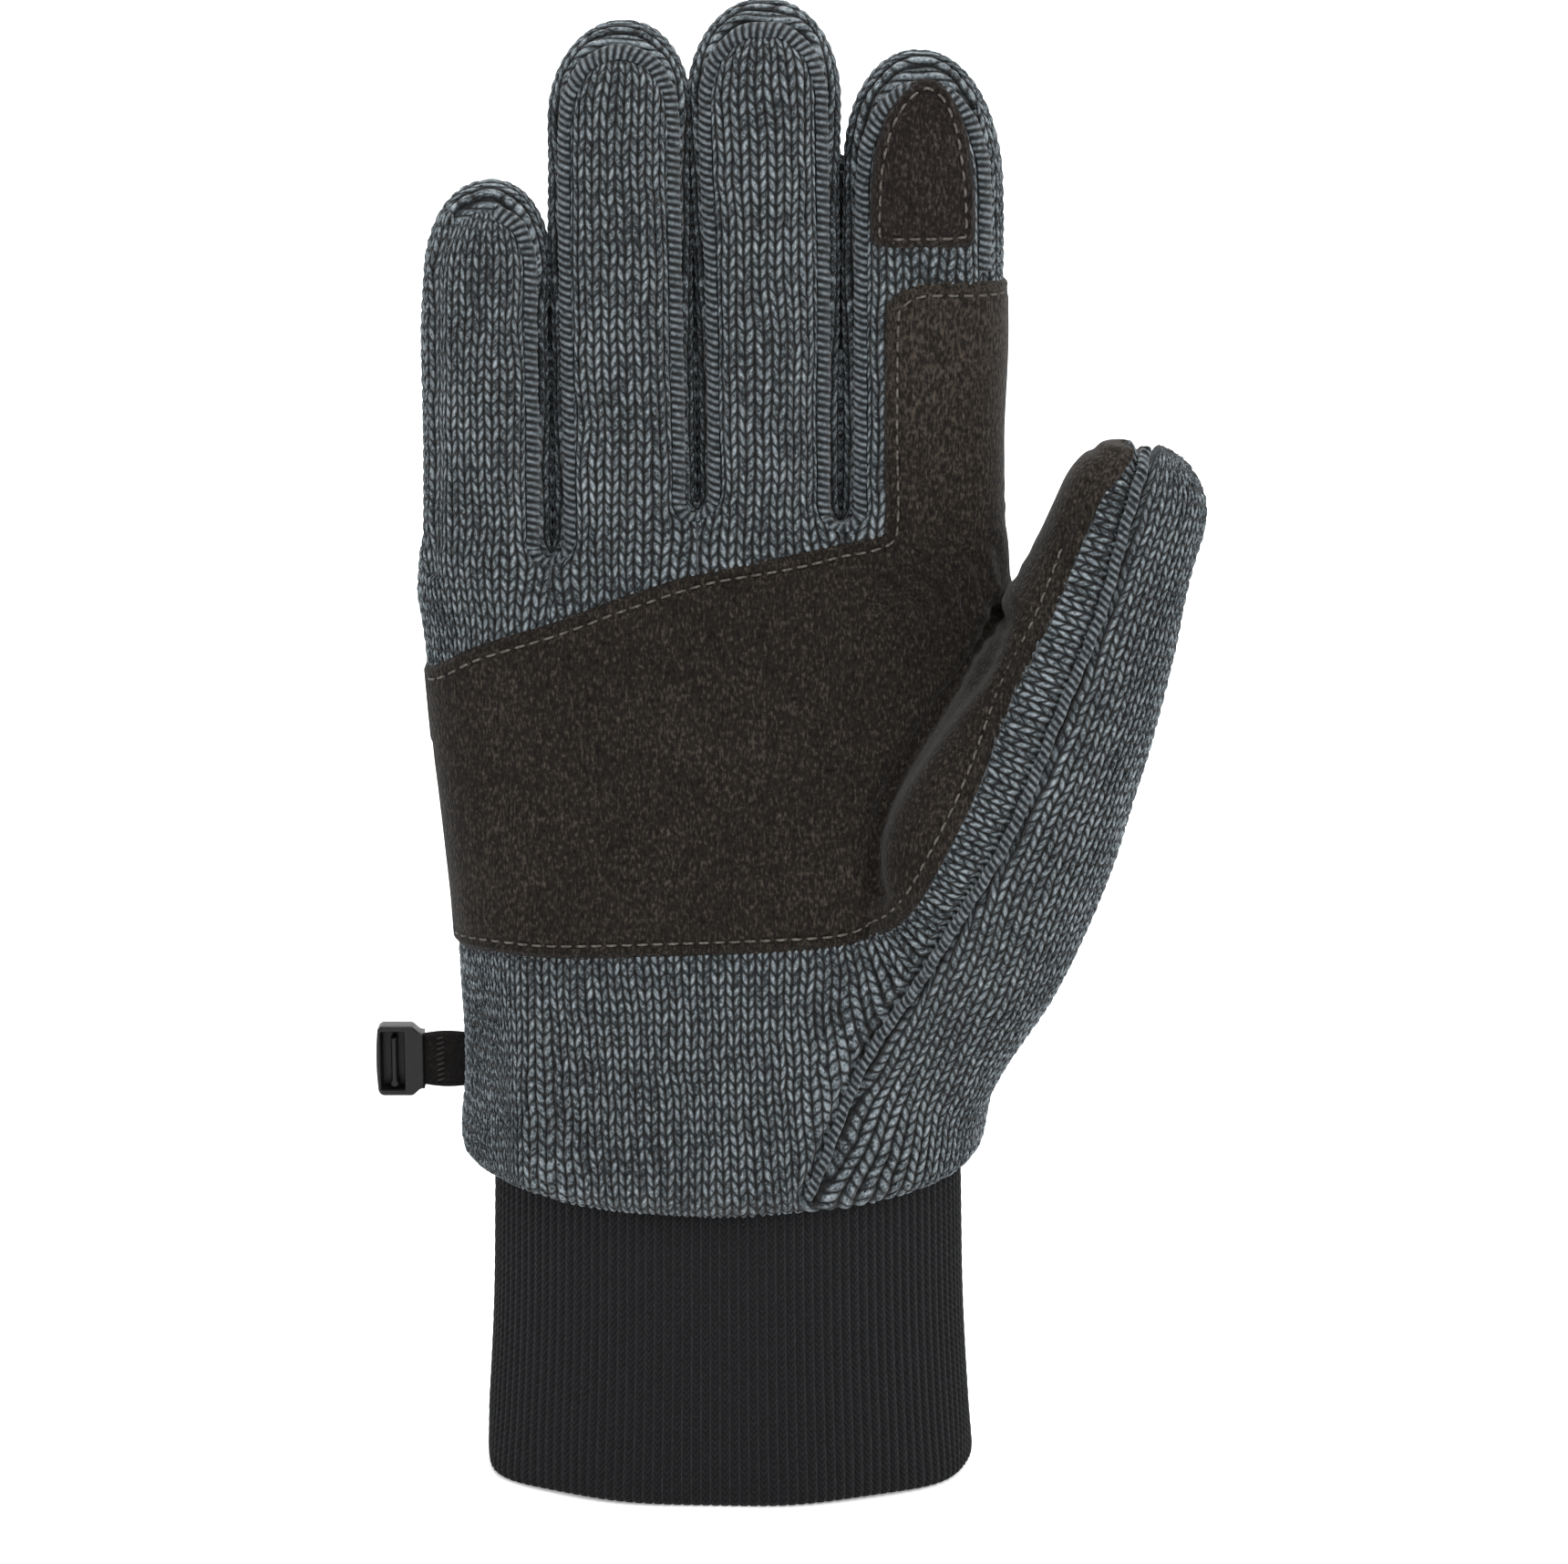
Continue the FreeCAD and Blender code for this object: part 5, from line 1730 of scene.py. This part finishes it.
    def stitch_row(self, route: Route, inset: float, lift: float, low: float, high: float) -> Array:
        """Threads of a row of stitches, inside an outline.

        Args:
            route: Outline of the piece that is sewn down.
            inset: Distance of the row from the outline.
            lift: Height of the thread over the skin.
            low: Sideways place where the row starts.
            high: Sideways place where it ends.

        Returns:
            One short path for each stitch.
        """
        walk = route.walk(0.4)
        ahead = unit(np.gradient(walk, axis=0))
        inward = np.column_stack([ahead[:, 1], -ahead[:, 0]])
        row = walk + inward * inset
        row = row[(row[:, 0] > low) & (row[:, 0] < high) & (route.inside(row) > inset * 0.93)]
        places = self.form.front_depth(row)
        places = places[np.abs(self.form.skin(places)) < 0.4]
        steps = np.linalg.norm(np.diff(places, axis=0), axis=1)
        breaks = np.where(steps > 2.4)[0] + 1
        paths = []
        for run in np.split(places, breaks):
            if len(run) < 8:
                continue
            length = np.concatenate([[0.0], np.cumsum(np.linalg.norm(np.diff(run, axis=0), axis=1))])
            pitch = self.stitch + self.gap
            for start in np.arange(0.0, length[-1] - self.stitch, pitch):
                at = np.linspace(start, start + self.stitch, 6)
                paths.append(np.column_stack([np.interp(at, length, run[:, i]) for i in range(3)]))
        lines = np.array(paths)
        flat = lines.reshape(-1, 3)
        normal = self.form.normal(flat).reshape(lines.shape)
        arch = np.sin(np.linspace(0.0, math.pi, 6))[None, :, None]
        return lines + normal * (lift - 0.32 + 0.42 * arch)

    def stitch_object(self, label: str, body: str, paths: Array, node: str) -> bpy.types.Object:
        """One object of threads on one body."""
        points, faces = tubes(paths, 0.24)
        item = make_object(label, points, faces, [Finish.THREAD.material()])
        return dress(item, body, [node], self.form)

    def stitches(self, rise: float) -> list[bpy.types.Object]:
        """The rows of stitches of the overlay and the touch patch.

        Args:
            rise: Height of the suede over the skin.

        Returns:
            The stitch objects.
        """
        pattern = self.shell.pattern
        paths = self.stitch_row(pattern.overlay, 2.4, rise, -55.5, 62.0)
        owner = self.shell.body_of(paths[:, 3])
        rows = ((0, "hand", "palm_stitches", "palm_overlay_stitching"),
                (4, "index", "index_stitches", "index_overlay_stitching"),
                (5, "thumb", "thumb_stitches", "thumb_facing_stitching"))
        made = [self.stitch_object(label, body, paths[owner == number], node)
                for number, body, label, node in rows]
        patch = self.stitch_row(pattern.patch, 2.0, rise, -FAR, FAR)
        return made + [self.stitch_object("patch_stitches", "index", patch, "touch_patch_stitching")]


# ---- Cuff, lining, strap and clip ----
@dataclass
class RibCuff:
    """The folded rib cuff, its seams and the label.

    Attributes:
        rib: The rib finish whose pitch the relief follows.
        low: Half width and half depth at the rim.
        high: Half width and half depth where it enters the glove.
        top: Height of the join.
        wall: Thickness of the folded rib.
        relief: Depth between two ribs.
        girth: Length around the rim.
        rib_columns: Points across one rib.
    """

    rib: RibKnit = field(default_factory=RibKnit)
    low: tuple[float, float] = (47.6, 26.1)
    high: tuple[float, float] = (44.7, 24.7)
    top: float = 67.0
    wall: float = 2.9
    relief: float = 0.5
    girth: float = 238.0
    rib_columns: int = 7

    def section(self, angle: Array, z: Array, inset: Array) -> Array:
        """Points of the cuff's wall.

        Args:
            angle: Directions around the cuff.
            z: Heights.
            inset: Distances inside the outer face.

        Returns:
            N by 3 positions.
        """
        part = np.clip(z / self.top, 0.0, 1.0)
        # the rib waists a little below the join and flares at the rim
        waist = -0.5 * np.sin(part * math.pi) ** 2
        a = self.low[0] + (self.high[0] - self.low[0]) * part + waist - inset
        b = self.low[1] + (self.high[1] - self.low[1]) * part + waist - inset
        power = 2.25
        c, s = np.cos(angle), np.sin(angle)
        size = (np.abs(c) ** power + np.abs(s) ** power) ** (-1 / power)
        return np.column_stack([a * size * c, b * size * s, z])

    def build(self) -> list[bpy.types.Object]:
        """The cuff, its closing seam, join ring and label.

        Returns:
            The objects.
        """
        ribs = int(round(self.girth / self.rib.pitch))
        columns = ribs * self.rib_columns
        angle = np.linspace(0.0, 2 * math.pi, columns, endpoint=False)
        ring = self.section(angle, np.zeros(columns), np.zeros(columns))
        around = np.concatenate([[0.0], np.cumsum(np.linalg.norm(np.roll(ring, -1, axis=0) - ring, axis=1))])
        even = np.linspace(0.0, around[-1], columns, endpoint=False)
        angle = np.interp(even, around, np.append(angle, 2 * math.pi))
        # up the inside, round the fold at the rim and up the outside
        fold = self.wall / 2
        bend = np.linspace(math.pi, 0.0, 7)[:-1]
        inside = np.arange(60.0, fold, -2.5)
        outside = np.arange(fold, self.top, 0.86)
        heights = np.concatenate([inside, fold * (1 - np.sin(bend)), outside])
        insets = np.concatenate([np.full(len(inside), self.wall), fold * (1 - np.cos(bend)), 0.0 * outside])
        rows = len(heights)
        z = np.repeat(heights, columns)
        inset = np.repeat(insets, columns)
        turn = np.tile(angle, rows)
        place = np.tile(np.arange(columns) / self.rib_columns, rows)
        side = np.repeat(np.where(insets < fold, 1.0, -1.0), columns)
        groove = np.abs(np.sin(place * math.pi)) ** 0.55
        row = z / self.rib.course
        purl = 0.10 * np.abs(np.sin((row - np.abs(place - np.floor(place) - 0.5) * 2.2) * math.pi))
        flutter = 0.35 * np.sin(turn * 9.0 + 0.7) * smoothstep(14.0, 0.0, z)
        lift = (groove - 1.0) * self.relief + purl * groove + flutter * side
        points = self.section(turn, z, inset - lift * side)
        points[:, 2] += 0.45 * (np.sin(turn * 5.0) * 0.5 + 0.5) * smoothstep(8.0, 0.0, z)
        fabric = np.column_stack([place * self.rib.pitch, z + np.where(side < 0, -2 * z, 0.0)])
        grid = np.arange(rows * columns).reshape(rows, columns)
        after = np.roll(grid, -1, axis=1)
        faces = np.stack([grid[:-1], after[:-1], after[1:], grid[1:]], axis=-1).reshape(-1, 4)
        # one extra column keeps the cloth's places whole where the ring closes
        points, faces, fabric = self.unroll(points, faces, fabric, columns, ribs)
        normals = surface_normals(points, faces)
        first, last = np.arange(rows) * columns, np.arange(rows) + rows * columns
        normals[first] = normals[last] = unit(normals[first] + normals[last])
        outer = (side > 0).nonzero()[0]
        if float((normals[outer] * points[outer]).sum()) < 0:
            faces, normals = faces[:, ::-1], -normals
        item = make_object("rib_cuff_cloth", points, faces, [Finish.RIB.material()], fabric, normals)
        return [dress(item, "hand", ["rib_cuff"]), *self.seams(), self.label()]

    def unroll(self, points: Array, faces: Array, fabric: Array, columns: int,
               ribs: int) -> tuple[Array, Array, Array]:
        """Give the closing column its own points, so the cloth's places do not jump back.

        Args:
            points: Points of the tube, row by row.
            faces: Its quads.
            fabric: Places in the cloth.
            columns: Points in each row.
            ribs: Ribs around the cuff.

        Returns:
            Points, faces and places of the opened tube.
        """
        first = np.arange(len(points) // columns) * columns
        extra_fabric = fabric[first] + np.array([ribs * self.rib.pitch, 0.0])
        column = faces % columns
        row = faces // columns
        closing = (column.max(axis=1) == columns - 1) & (column.min(axis=1) == 0)
        fixed = faces.copy()
        swap = closing[:, None] & (column == 0)
        fixed[swap] = (row + len(points))[swap]
        return np.vstack([points, points[first]]), fixed, np.vstack([fabric, extra_fabric])

    def seams(self) -> list[bpy.types.Object]:
        """Closing seam inside the cuff, and the ring of threads where it joins the glove."""
        heights = np.arange(2.0, 62.0, 0.3)
        line = self.section(np.full(len(heights), math.pi), heights, np.full(len(heights), self.wall + 0.2))
        closing = []
        for start in range(0, len(line) - 4, 4):
            for sway in (-1.5, 1.5):
                low, high = line[start].copy(), line[start + 4].copy()
                low[1], high[1] = -sway, sway
                low[0] += 0.2
                high[0] += 0.2
                closing.append(np.linspace(low, high, 6))
        joining = []
        for angle in np.linspace(0.0, 2 * math.pi, 360, endpoint=False):
            ends = self.section(np.array([angle, angle + 0.012]), np.array([62.6, 66.2]),
                                np.array([self.wall + 0.2, self.wall + 0.5]))
            joining.append(np.linspace(ends[0], ends[1], 6))
        made = []
        for name, paths, radius, node in (("cuff_seam_threads", closing, 0.38, "cuff_closing_seam"),
                                          ("cuff_join_threads", joining, 0.4, "cuff_join_seam")):
            points, faces = tubes(np.array(paths), radius)
            item = make_object(name, points, faces, [Finish.THREAD.material()])
            made.append(dress(item, "hand", [node]))
        return made

    @staticmethod
    def label() -> bpy.types.Object:
        """The care label, sewn in at the join and curling inwards below it."""
        across, up = np.meshgrid(np.linspace(-6.0, 6.0, 25), np.linspace(44.0, 65.5, 45))
        curl = 18.9 - 0.9 * (1 - (up - 44.0) / 21.5) ** 2 + 0.25 * np.cos(across * 0.5)
        face = np.column_stack([across.ravel(), curl.ravel(), up.ravel()])
        back = face + np.array([0.0, 0.35, 0.0])
        grid = np.arange(across.size).reshape(across.shape)
        quads = grid_quads(*across.shape)[:, [0, 3, 2, 1]]
        rim = np.concatenate([grid[0], grid[1:, -1], grid[-1, -2::-1], grid[-2:0:-1, 0]])
        after = np.roll(rim, -1)
        walls = np.column_stack([after, rim, rim + across.size, after + across.size])
        faces = np.vstack([quads, quads[:, ::-1] + across.size, walls])
        item = make_object("satin_label", np.vstack([face, back]), faces, [Finish.LABEL.material()])
        return dress(item, "hand", ["care_label"])


@dataclass
class Lining:
    """Fleece inside the glove, a level inside the skin."""

    shell: KnitShell
    depth: float = 3.2
    pitch: float = 2.0

    def build(self) -> list[bpy.types.Object]:
        """The lining of each body."""
        points, quads = self.shell.skin.surface(-self.depth, self.pitch)
        normals = self.shell.form.normal(points)
        if float((surface_normals(points, quads) * normals).sum()) > 0:
            quads = quads[:, ::-1]
        points = points + normals * (lattice_noise(points, 6.0, 2) * 0.3)[:, None]
        middles = points[quads].mean(axis=1)
        above_cuff = middles[:, 2] >= 65.0
        owner = self.shell.body_of(middles)
        made = []
        for number, body in enumerate(self.shell.form.bodies):
            used, renamed = np.unique(quads[(owner == number) & above_cuff], return_inverse=True)
            faces = renamed.reshape(-1, 4)
            item = make_object(f"{body}_fleece", points[used], faces, [Finish.FLEECE.material()], None,
                               surface_normals(points[used], faces))
            made.append(dress(item, body, [f"{body}_liner"], self.shell.form))
        return made


@dataclass
class StrapAndClip:
    """The webbing loop at the cuff's outer edge and the clip that it holds.

    Attributes:
        z: Height of the strap's middle.
        width: Width of the webbing.
        near: Sideways place where the webbing leaves the glove.
        far: Sideways place where it enters the clip.
        thickness: Thickness of one layer.
        fold: Sideways place of the line that the strap folds on; not used.
    """

    z: float = 81.8
    width: float = 10.5
    near: float = -49.4
    far: float = -59.3
    thickness: float = 1.6
    fold: float = -53.4

    def webbing(self) -> list[bpy.types.Object]:
        """The woven strap, with its thicker selvedges, and the bar tack across it."""
        across, up = np.linspace(self.near, self.far, 67), np.linspace(-1.0, 1.0, 45)
        grid_x, grid_v = np.meshgrid(across, up, indexing="ij")
        part = (grid_x - self.near) / (self.far - self.near)
        half = self.width / 2 * (1.0 + 0.10 * np.sin(part * math.pi) - 0.05 * part)
        height = grid_v * half + self.z
        weave = 0.13 * np.sin(grid_x * 2 * math.pi / 0.9) * np.sin(height * 2 * math.pi / 0.8)
        edge = np.clip((np.abs(grid_v) - 0.86) / 0.14, 0.0, 1.0)
        swell = 0.35 * np.sin(np.clip((np.abs(grid_v) - 0.78) / 0.2, 0.0, 1.0) * math.pi)
        level = (self.thickness / 2 + swell) * np.sqrt(1.0 - edge * edge) + weave * (1 - edge)
        front = np.column_stack([grid_x.ravel(), -level.ravel(), height.ravel()])
        back = np.column_stack([grid_x.ravel(), level.ravel(), height.ravel()])
        quads = grid_quads(*grid_x.shape)[:, [0, 3, 2, 1]]
        points = np.vstack([front, back])
        faces = np.vstack([quads, quads[:, ::-1] + grid_x.size])
        if surface_normals(points, faces)[: grid_x.size, 1].mean() > 0:
            faces = faces[:, ::-1]
        tape = make_object("strap_cloth", points, faces, [Finish.WEBBING.material()], None,
                           surface_normals(points, faces))
        # the tape bends where the strap folds on the glove
        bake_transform(tape)
        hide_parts("strap_root", "webbing_strap")
        paths = []
        for row in range(9):
            z = self.z - 4.2 + row * 1.05
            paths.append(np.linspace((-55.9, -0.95, z), (-54.3, -0.95, z + 0.6), 6))
        points, faces = tubes(np.array(paths), 0.22)
        tack = make_object("strap_tack_threads", points, faces, [Finish.STRAP_THREAD.material()])
        return [tape, dress(tack, "strap", ["strap_bartack"])]

    @staticmethod
    def plate(level: Callable[[Array, Array], Array], corner: tuple[float, float], size: tuple[float, float],
              thickness: float, rounding: float, step: float = 0.16) -> Cloth:
        """A flat moulded part with rounded edges.

        Args:
            level: Distance inside the part's outline at (x, z).
            corner: Lowest (x, z) of the area to search.
            size: Width and height of that area.
            thickness: Thickness of the part.
            rounding: Radius of its edges.
            step: Size of its faces.

        Returns:
            The closed part.
        """
        xs = np.arange(corner[0], corner[0] + size[0] + step, step)
        zs = np.arange(corner[1], corner[1] + size[1] + step, step)
        grid_x, grid_z = np.meshgrid(xs, zs, indexing="ij")
        points = np.column_stack([grid_x.ravel(), np.zeros(grid_x.size), grid_z.ravel()])
        flat = Cloth(points, grid_quads(*grid_x.shape), np.tile([0.0, -1.0, 0.0], (len(points), 1)))
        flat, inside = clip(flat, level(points[:, 0], points[:, 2]))
        part = np.clip(inside / rounding, 0.0, 1.0)
        half = thickness / 2 - rounding * (1.0 - np.sqrt(1.0 - (1.0 - part) ** 2))
        front, back = flat.points.copy(), flat.points.copy()
        front[:, 1] -= half
        back[:, 1] += half
        count = len(front)
        border = border_edges(flat.faces)
        a, b = border[:, 0], border[:, 1]
        walls = np.vstack([np.column_stack([b, a, a + count]), np.column_stack([b, a + count, b + count])])
        faces = np.vstack([flat.faces, flat.faces[:, ::-1] + count, walls])
        points = np.vstack([front, back])
        return Cloth(points, faces, surface_normals(points, faces))

    def clip_outline(self, x: Array, z: Array) -> Array:
        """Distance inside the clip's body, a flared block with a slot at its open end."""
        tall = 7.0 - 1.4 * smoothstep(0.75, 1.0, (x + 67.5) / 8.8) - np.abs(z - self.z)
        left = x + 67.5 - 0.035 * (z - self.z) ** 2 * 0.25
        right = -58.2 - x
        corner = 1.1
        block = np.minimum(np.minimum(tall, left), np.minimum(right, corner))
        rounded = corner - np.hypot(corner - tall, corner - left)
        block = np.where((tall < corner) & (left < corner), rounded, block)
        slot_x, slot_z = np.abs(x + 64.25) - 2.1, np.abs(z - self.z) - 5.7
        outside = np.hypot(np.clip(slot_x, 0, None), np.clip(slot_z, 0, None))
        slot = outside + np.minimum(np.maximum(slot_x, slot_z), 0.0)
        return np.minimum(block, slot - 0.05)

    def gate_outline(self, x: Array, z: Array) -> Array:
        """Distance inside the clip's gate, a slim bar with a thicker foot."""
        bar = np.minimum(0.6 - np.abs(x + 64.05), 4.6 - np.abs(z - self.z + 0.1))
        foot = 0.9 - np.hypot(x + 64.05, z - self.z + 4.75)
        return np.maximum(bar, foot)

    def slot_shade_sheet_outline(self, x: Array, z: Array) -> Array:
        """Distance inside the thin dark sheet that closes the back of the slot behind the gate, painted
        shade where the slot looks dark.
        """
        return np.minimum(2.5 - np.abs(x + 64.25), 6.1 - np.abs(z - self.z))

    def clip_parts(self) -> list[bpy.types.Object]:
        """The clip's body on the strap with a dark sheet behind its slot as painted shade, and its gate, in
        their plastic.
        """
        # a thin sheet of the dark plastic fills the back of the slot: painted shade, so the slot looks dark
        web = self.plate(self.slot_shade_sheet_outline, (-67.5, self.z - 7.0), (6.5, 14.0), 0.5, 0.1, 0.4)
        web.points[:, 1] += 1.72
        area = ((-68.0, self.z - 8.0), (10.2, 16.0))
        shell = self.plate(self.clip_outline, *area, 4.0, 0.55)
        tongue = self.plate(self.gate_outline, *area, 2.6, 0.55)
        made = []
        for name, body, part, node in (("clip_web", "strap", web, "clip_body"),
                                       ("clip_shell", "strap", shell, "clip_body"),
                                       ("clip_tongue", "gate", tongue, "clip_gate")):
            item = make_object(name, part.points, part.faces, [Finish.ACETAL.material()], None, part.normals)
            made.append(dress(item, body, [node]))
        return made


@dataclass
class Studio:
    """Pale floor and backdrop, soft lights and the camera."""

    aim: tuple[float, float, float] = (10.8, 0.0, 136.6)
    distance: float = 800.0
    lift_degrees: float = 14.0
    lens: float = 97.1
    wall_start: float = 1500.0
    wall_bend: float = 700.0

    def floor(self) -> None:
        """A plain sweep that curves up behind the glove."""
        paper = NodeSheet("studio_paper").finish(linear("#F1F1F1"), 0.9, Specular_IOR_Level=0.1,
                                                 Emission_Strength=0.22, Emission_Color=linear("#FFFFFF"))
        profile = [(-4000.0, 0.0), (self.wall_start, 0.0)]
        for step in range(1, 13):
            turn = step / 12 * math.pi / 2
            profile.append((self.wall_start + self.wall_bend * math.sin(turn),
                            self.wall_bend * (1 - math.cos(turn))))
        profile.append((self.wall_start + self.wall_bend, 4200.0))
        points = np.array([(x, y, z) for y, z in profile for x in (-3500.0, 3500.0)])
        faces = np.array([(i * 2, i * 2 + 1, i * 2 + 3, i * 2 + 2) for i in range(len(profile) - 1)])
        make_object("studio_sweep", points, faces, [paper])

    def light(self, name: str, place: tuple[float, float, float], size: float, power: float,
              target: Optional[tuple[float, float, float]] = None) -> None:
        """Add a soft square light.

        Args:
            name: Name of the light.
            place: Where it stands, in metres.
            size: Side of the square, in metres.
            power: Power in watts.
            target: Point that it looks at, in millimetres; the camera's own aim when left out.
        """
        lamp = bpy.data.lights.new(name, "AREA")
        lamp.energy = power
        lamp.size = size
        item = bpy.data.objects.new(name, lamp)
        item.location = place
        seen = Vector(target or self.aim) * MM
        item.rotation_euler = (seen - Vector(place)).to_track_quat("-Z", "Y").to_euler()
        bpy.context.scene.collection.objects.link(item)

    def camera(self) -> None:
        """The camera of the main view."""
        lens = bpy.data.cameras.new("main_camera")
        lens.sensor_width = 36.0
        lens.lens = self.lens
        lens.clip_end = 50.0
        item = bpy.data.objects.new("main_camera", lens)
        rise = math.radians(self.lift_degrees)
        offset = Vector((0.0, -math.cos(rise), math.sin(rise))) * self.distance
        item.location = (Vector(self.aim) + offset) * MM
        item.rotation_euler = (-offset).to_track_quat("-Z", "Y").to_euler()
        bpy.context.scene.collection.objects.link(item)
        bpy.context.scene.camera = item

    def build(self) -> None:
        """Set the whole stage."""
        self.floor()
        self.light("key", (0.55, -1.15, 1.25), 1.3, 25.0)
        self.light("fill", (-1.2, -0.9, 0.8), 1.2, 7.0)
        self.light("back", (0.1, 0.9, 1.7), 1.4, 10.0)
        self.light("wall", (0.0, 0.5, 2.4), 1.6, 45.0, (0.0, 2200.0, 900.0))
        world = bpy.data.worlds.new("studio_world")
        world.use_nodes = True
        background = world.node_tree.nodes["Background"]
        background.inputs["Color"].default_value = (0.95, 0.97, 1.0, 1.0)
        background.inputs["Strength"].default_value = 0.7
        bpy.context.scene.world = world
        bpy.context.scene.view_settings.view_transform = "Standard"
        self.camera()


def main() -> None:
    """Build every piece in order and report it."""
    logging.basicConfig(level=logging.INFO, format="%(message)s")
    form = GloveForm()
    shell = KnitShell(SkinMesh(form, Pattern()))
    for item in shell.panels():
        body = item.name.split("_")[0]
        starts = (body, "palm", "back") if body == "hand" else (body,)
        ends = ("knit_panel", "front_panel", "back_panel", "fourchette")
        nodes = [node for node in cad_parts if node.startswith(starts) and node.endswith(ends)]
        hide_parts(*nodes)
    suede = SuedeOverlays(shell)
    seams = SeamWork(shell)
    strap = StrapAndClip()
    sewn = [*suede.build(), *seams.finger_seams(), *seams.thumb_seam(), *seams.stitches(suede.rise)]
    below = [*RibCuff().build(), *Lining(shell).build(), *strap.webbing(), *strap.clip_parts()]
    LOG.info("%d sewn pieces, %d of cuff, lining, strap and clip", len(sewn), len(below))
    Studio().build()


if __name__ == "__main__":
    main()
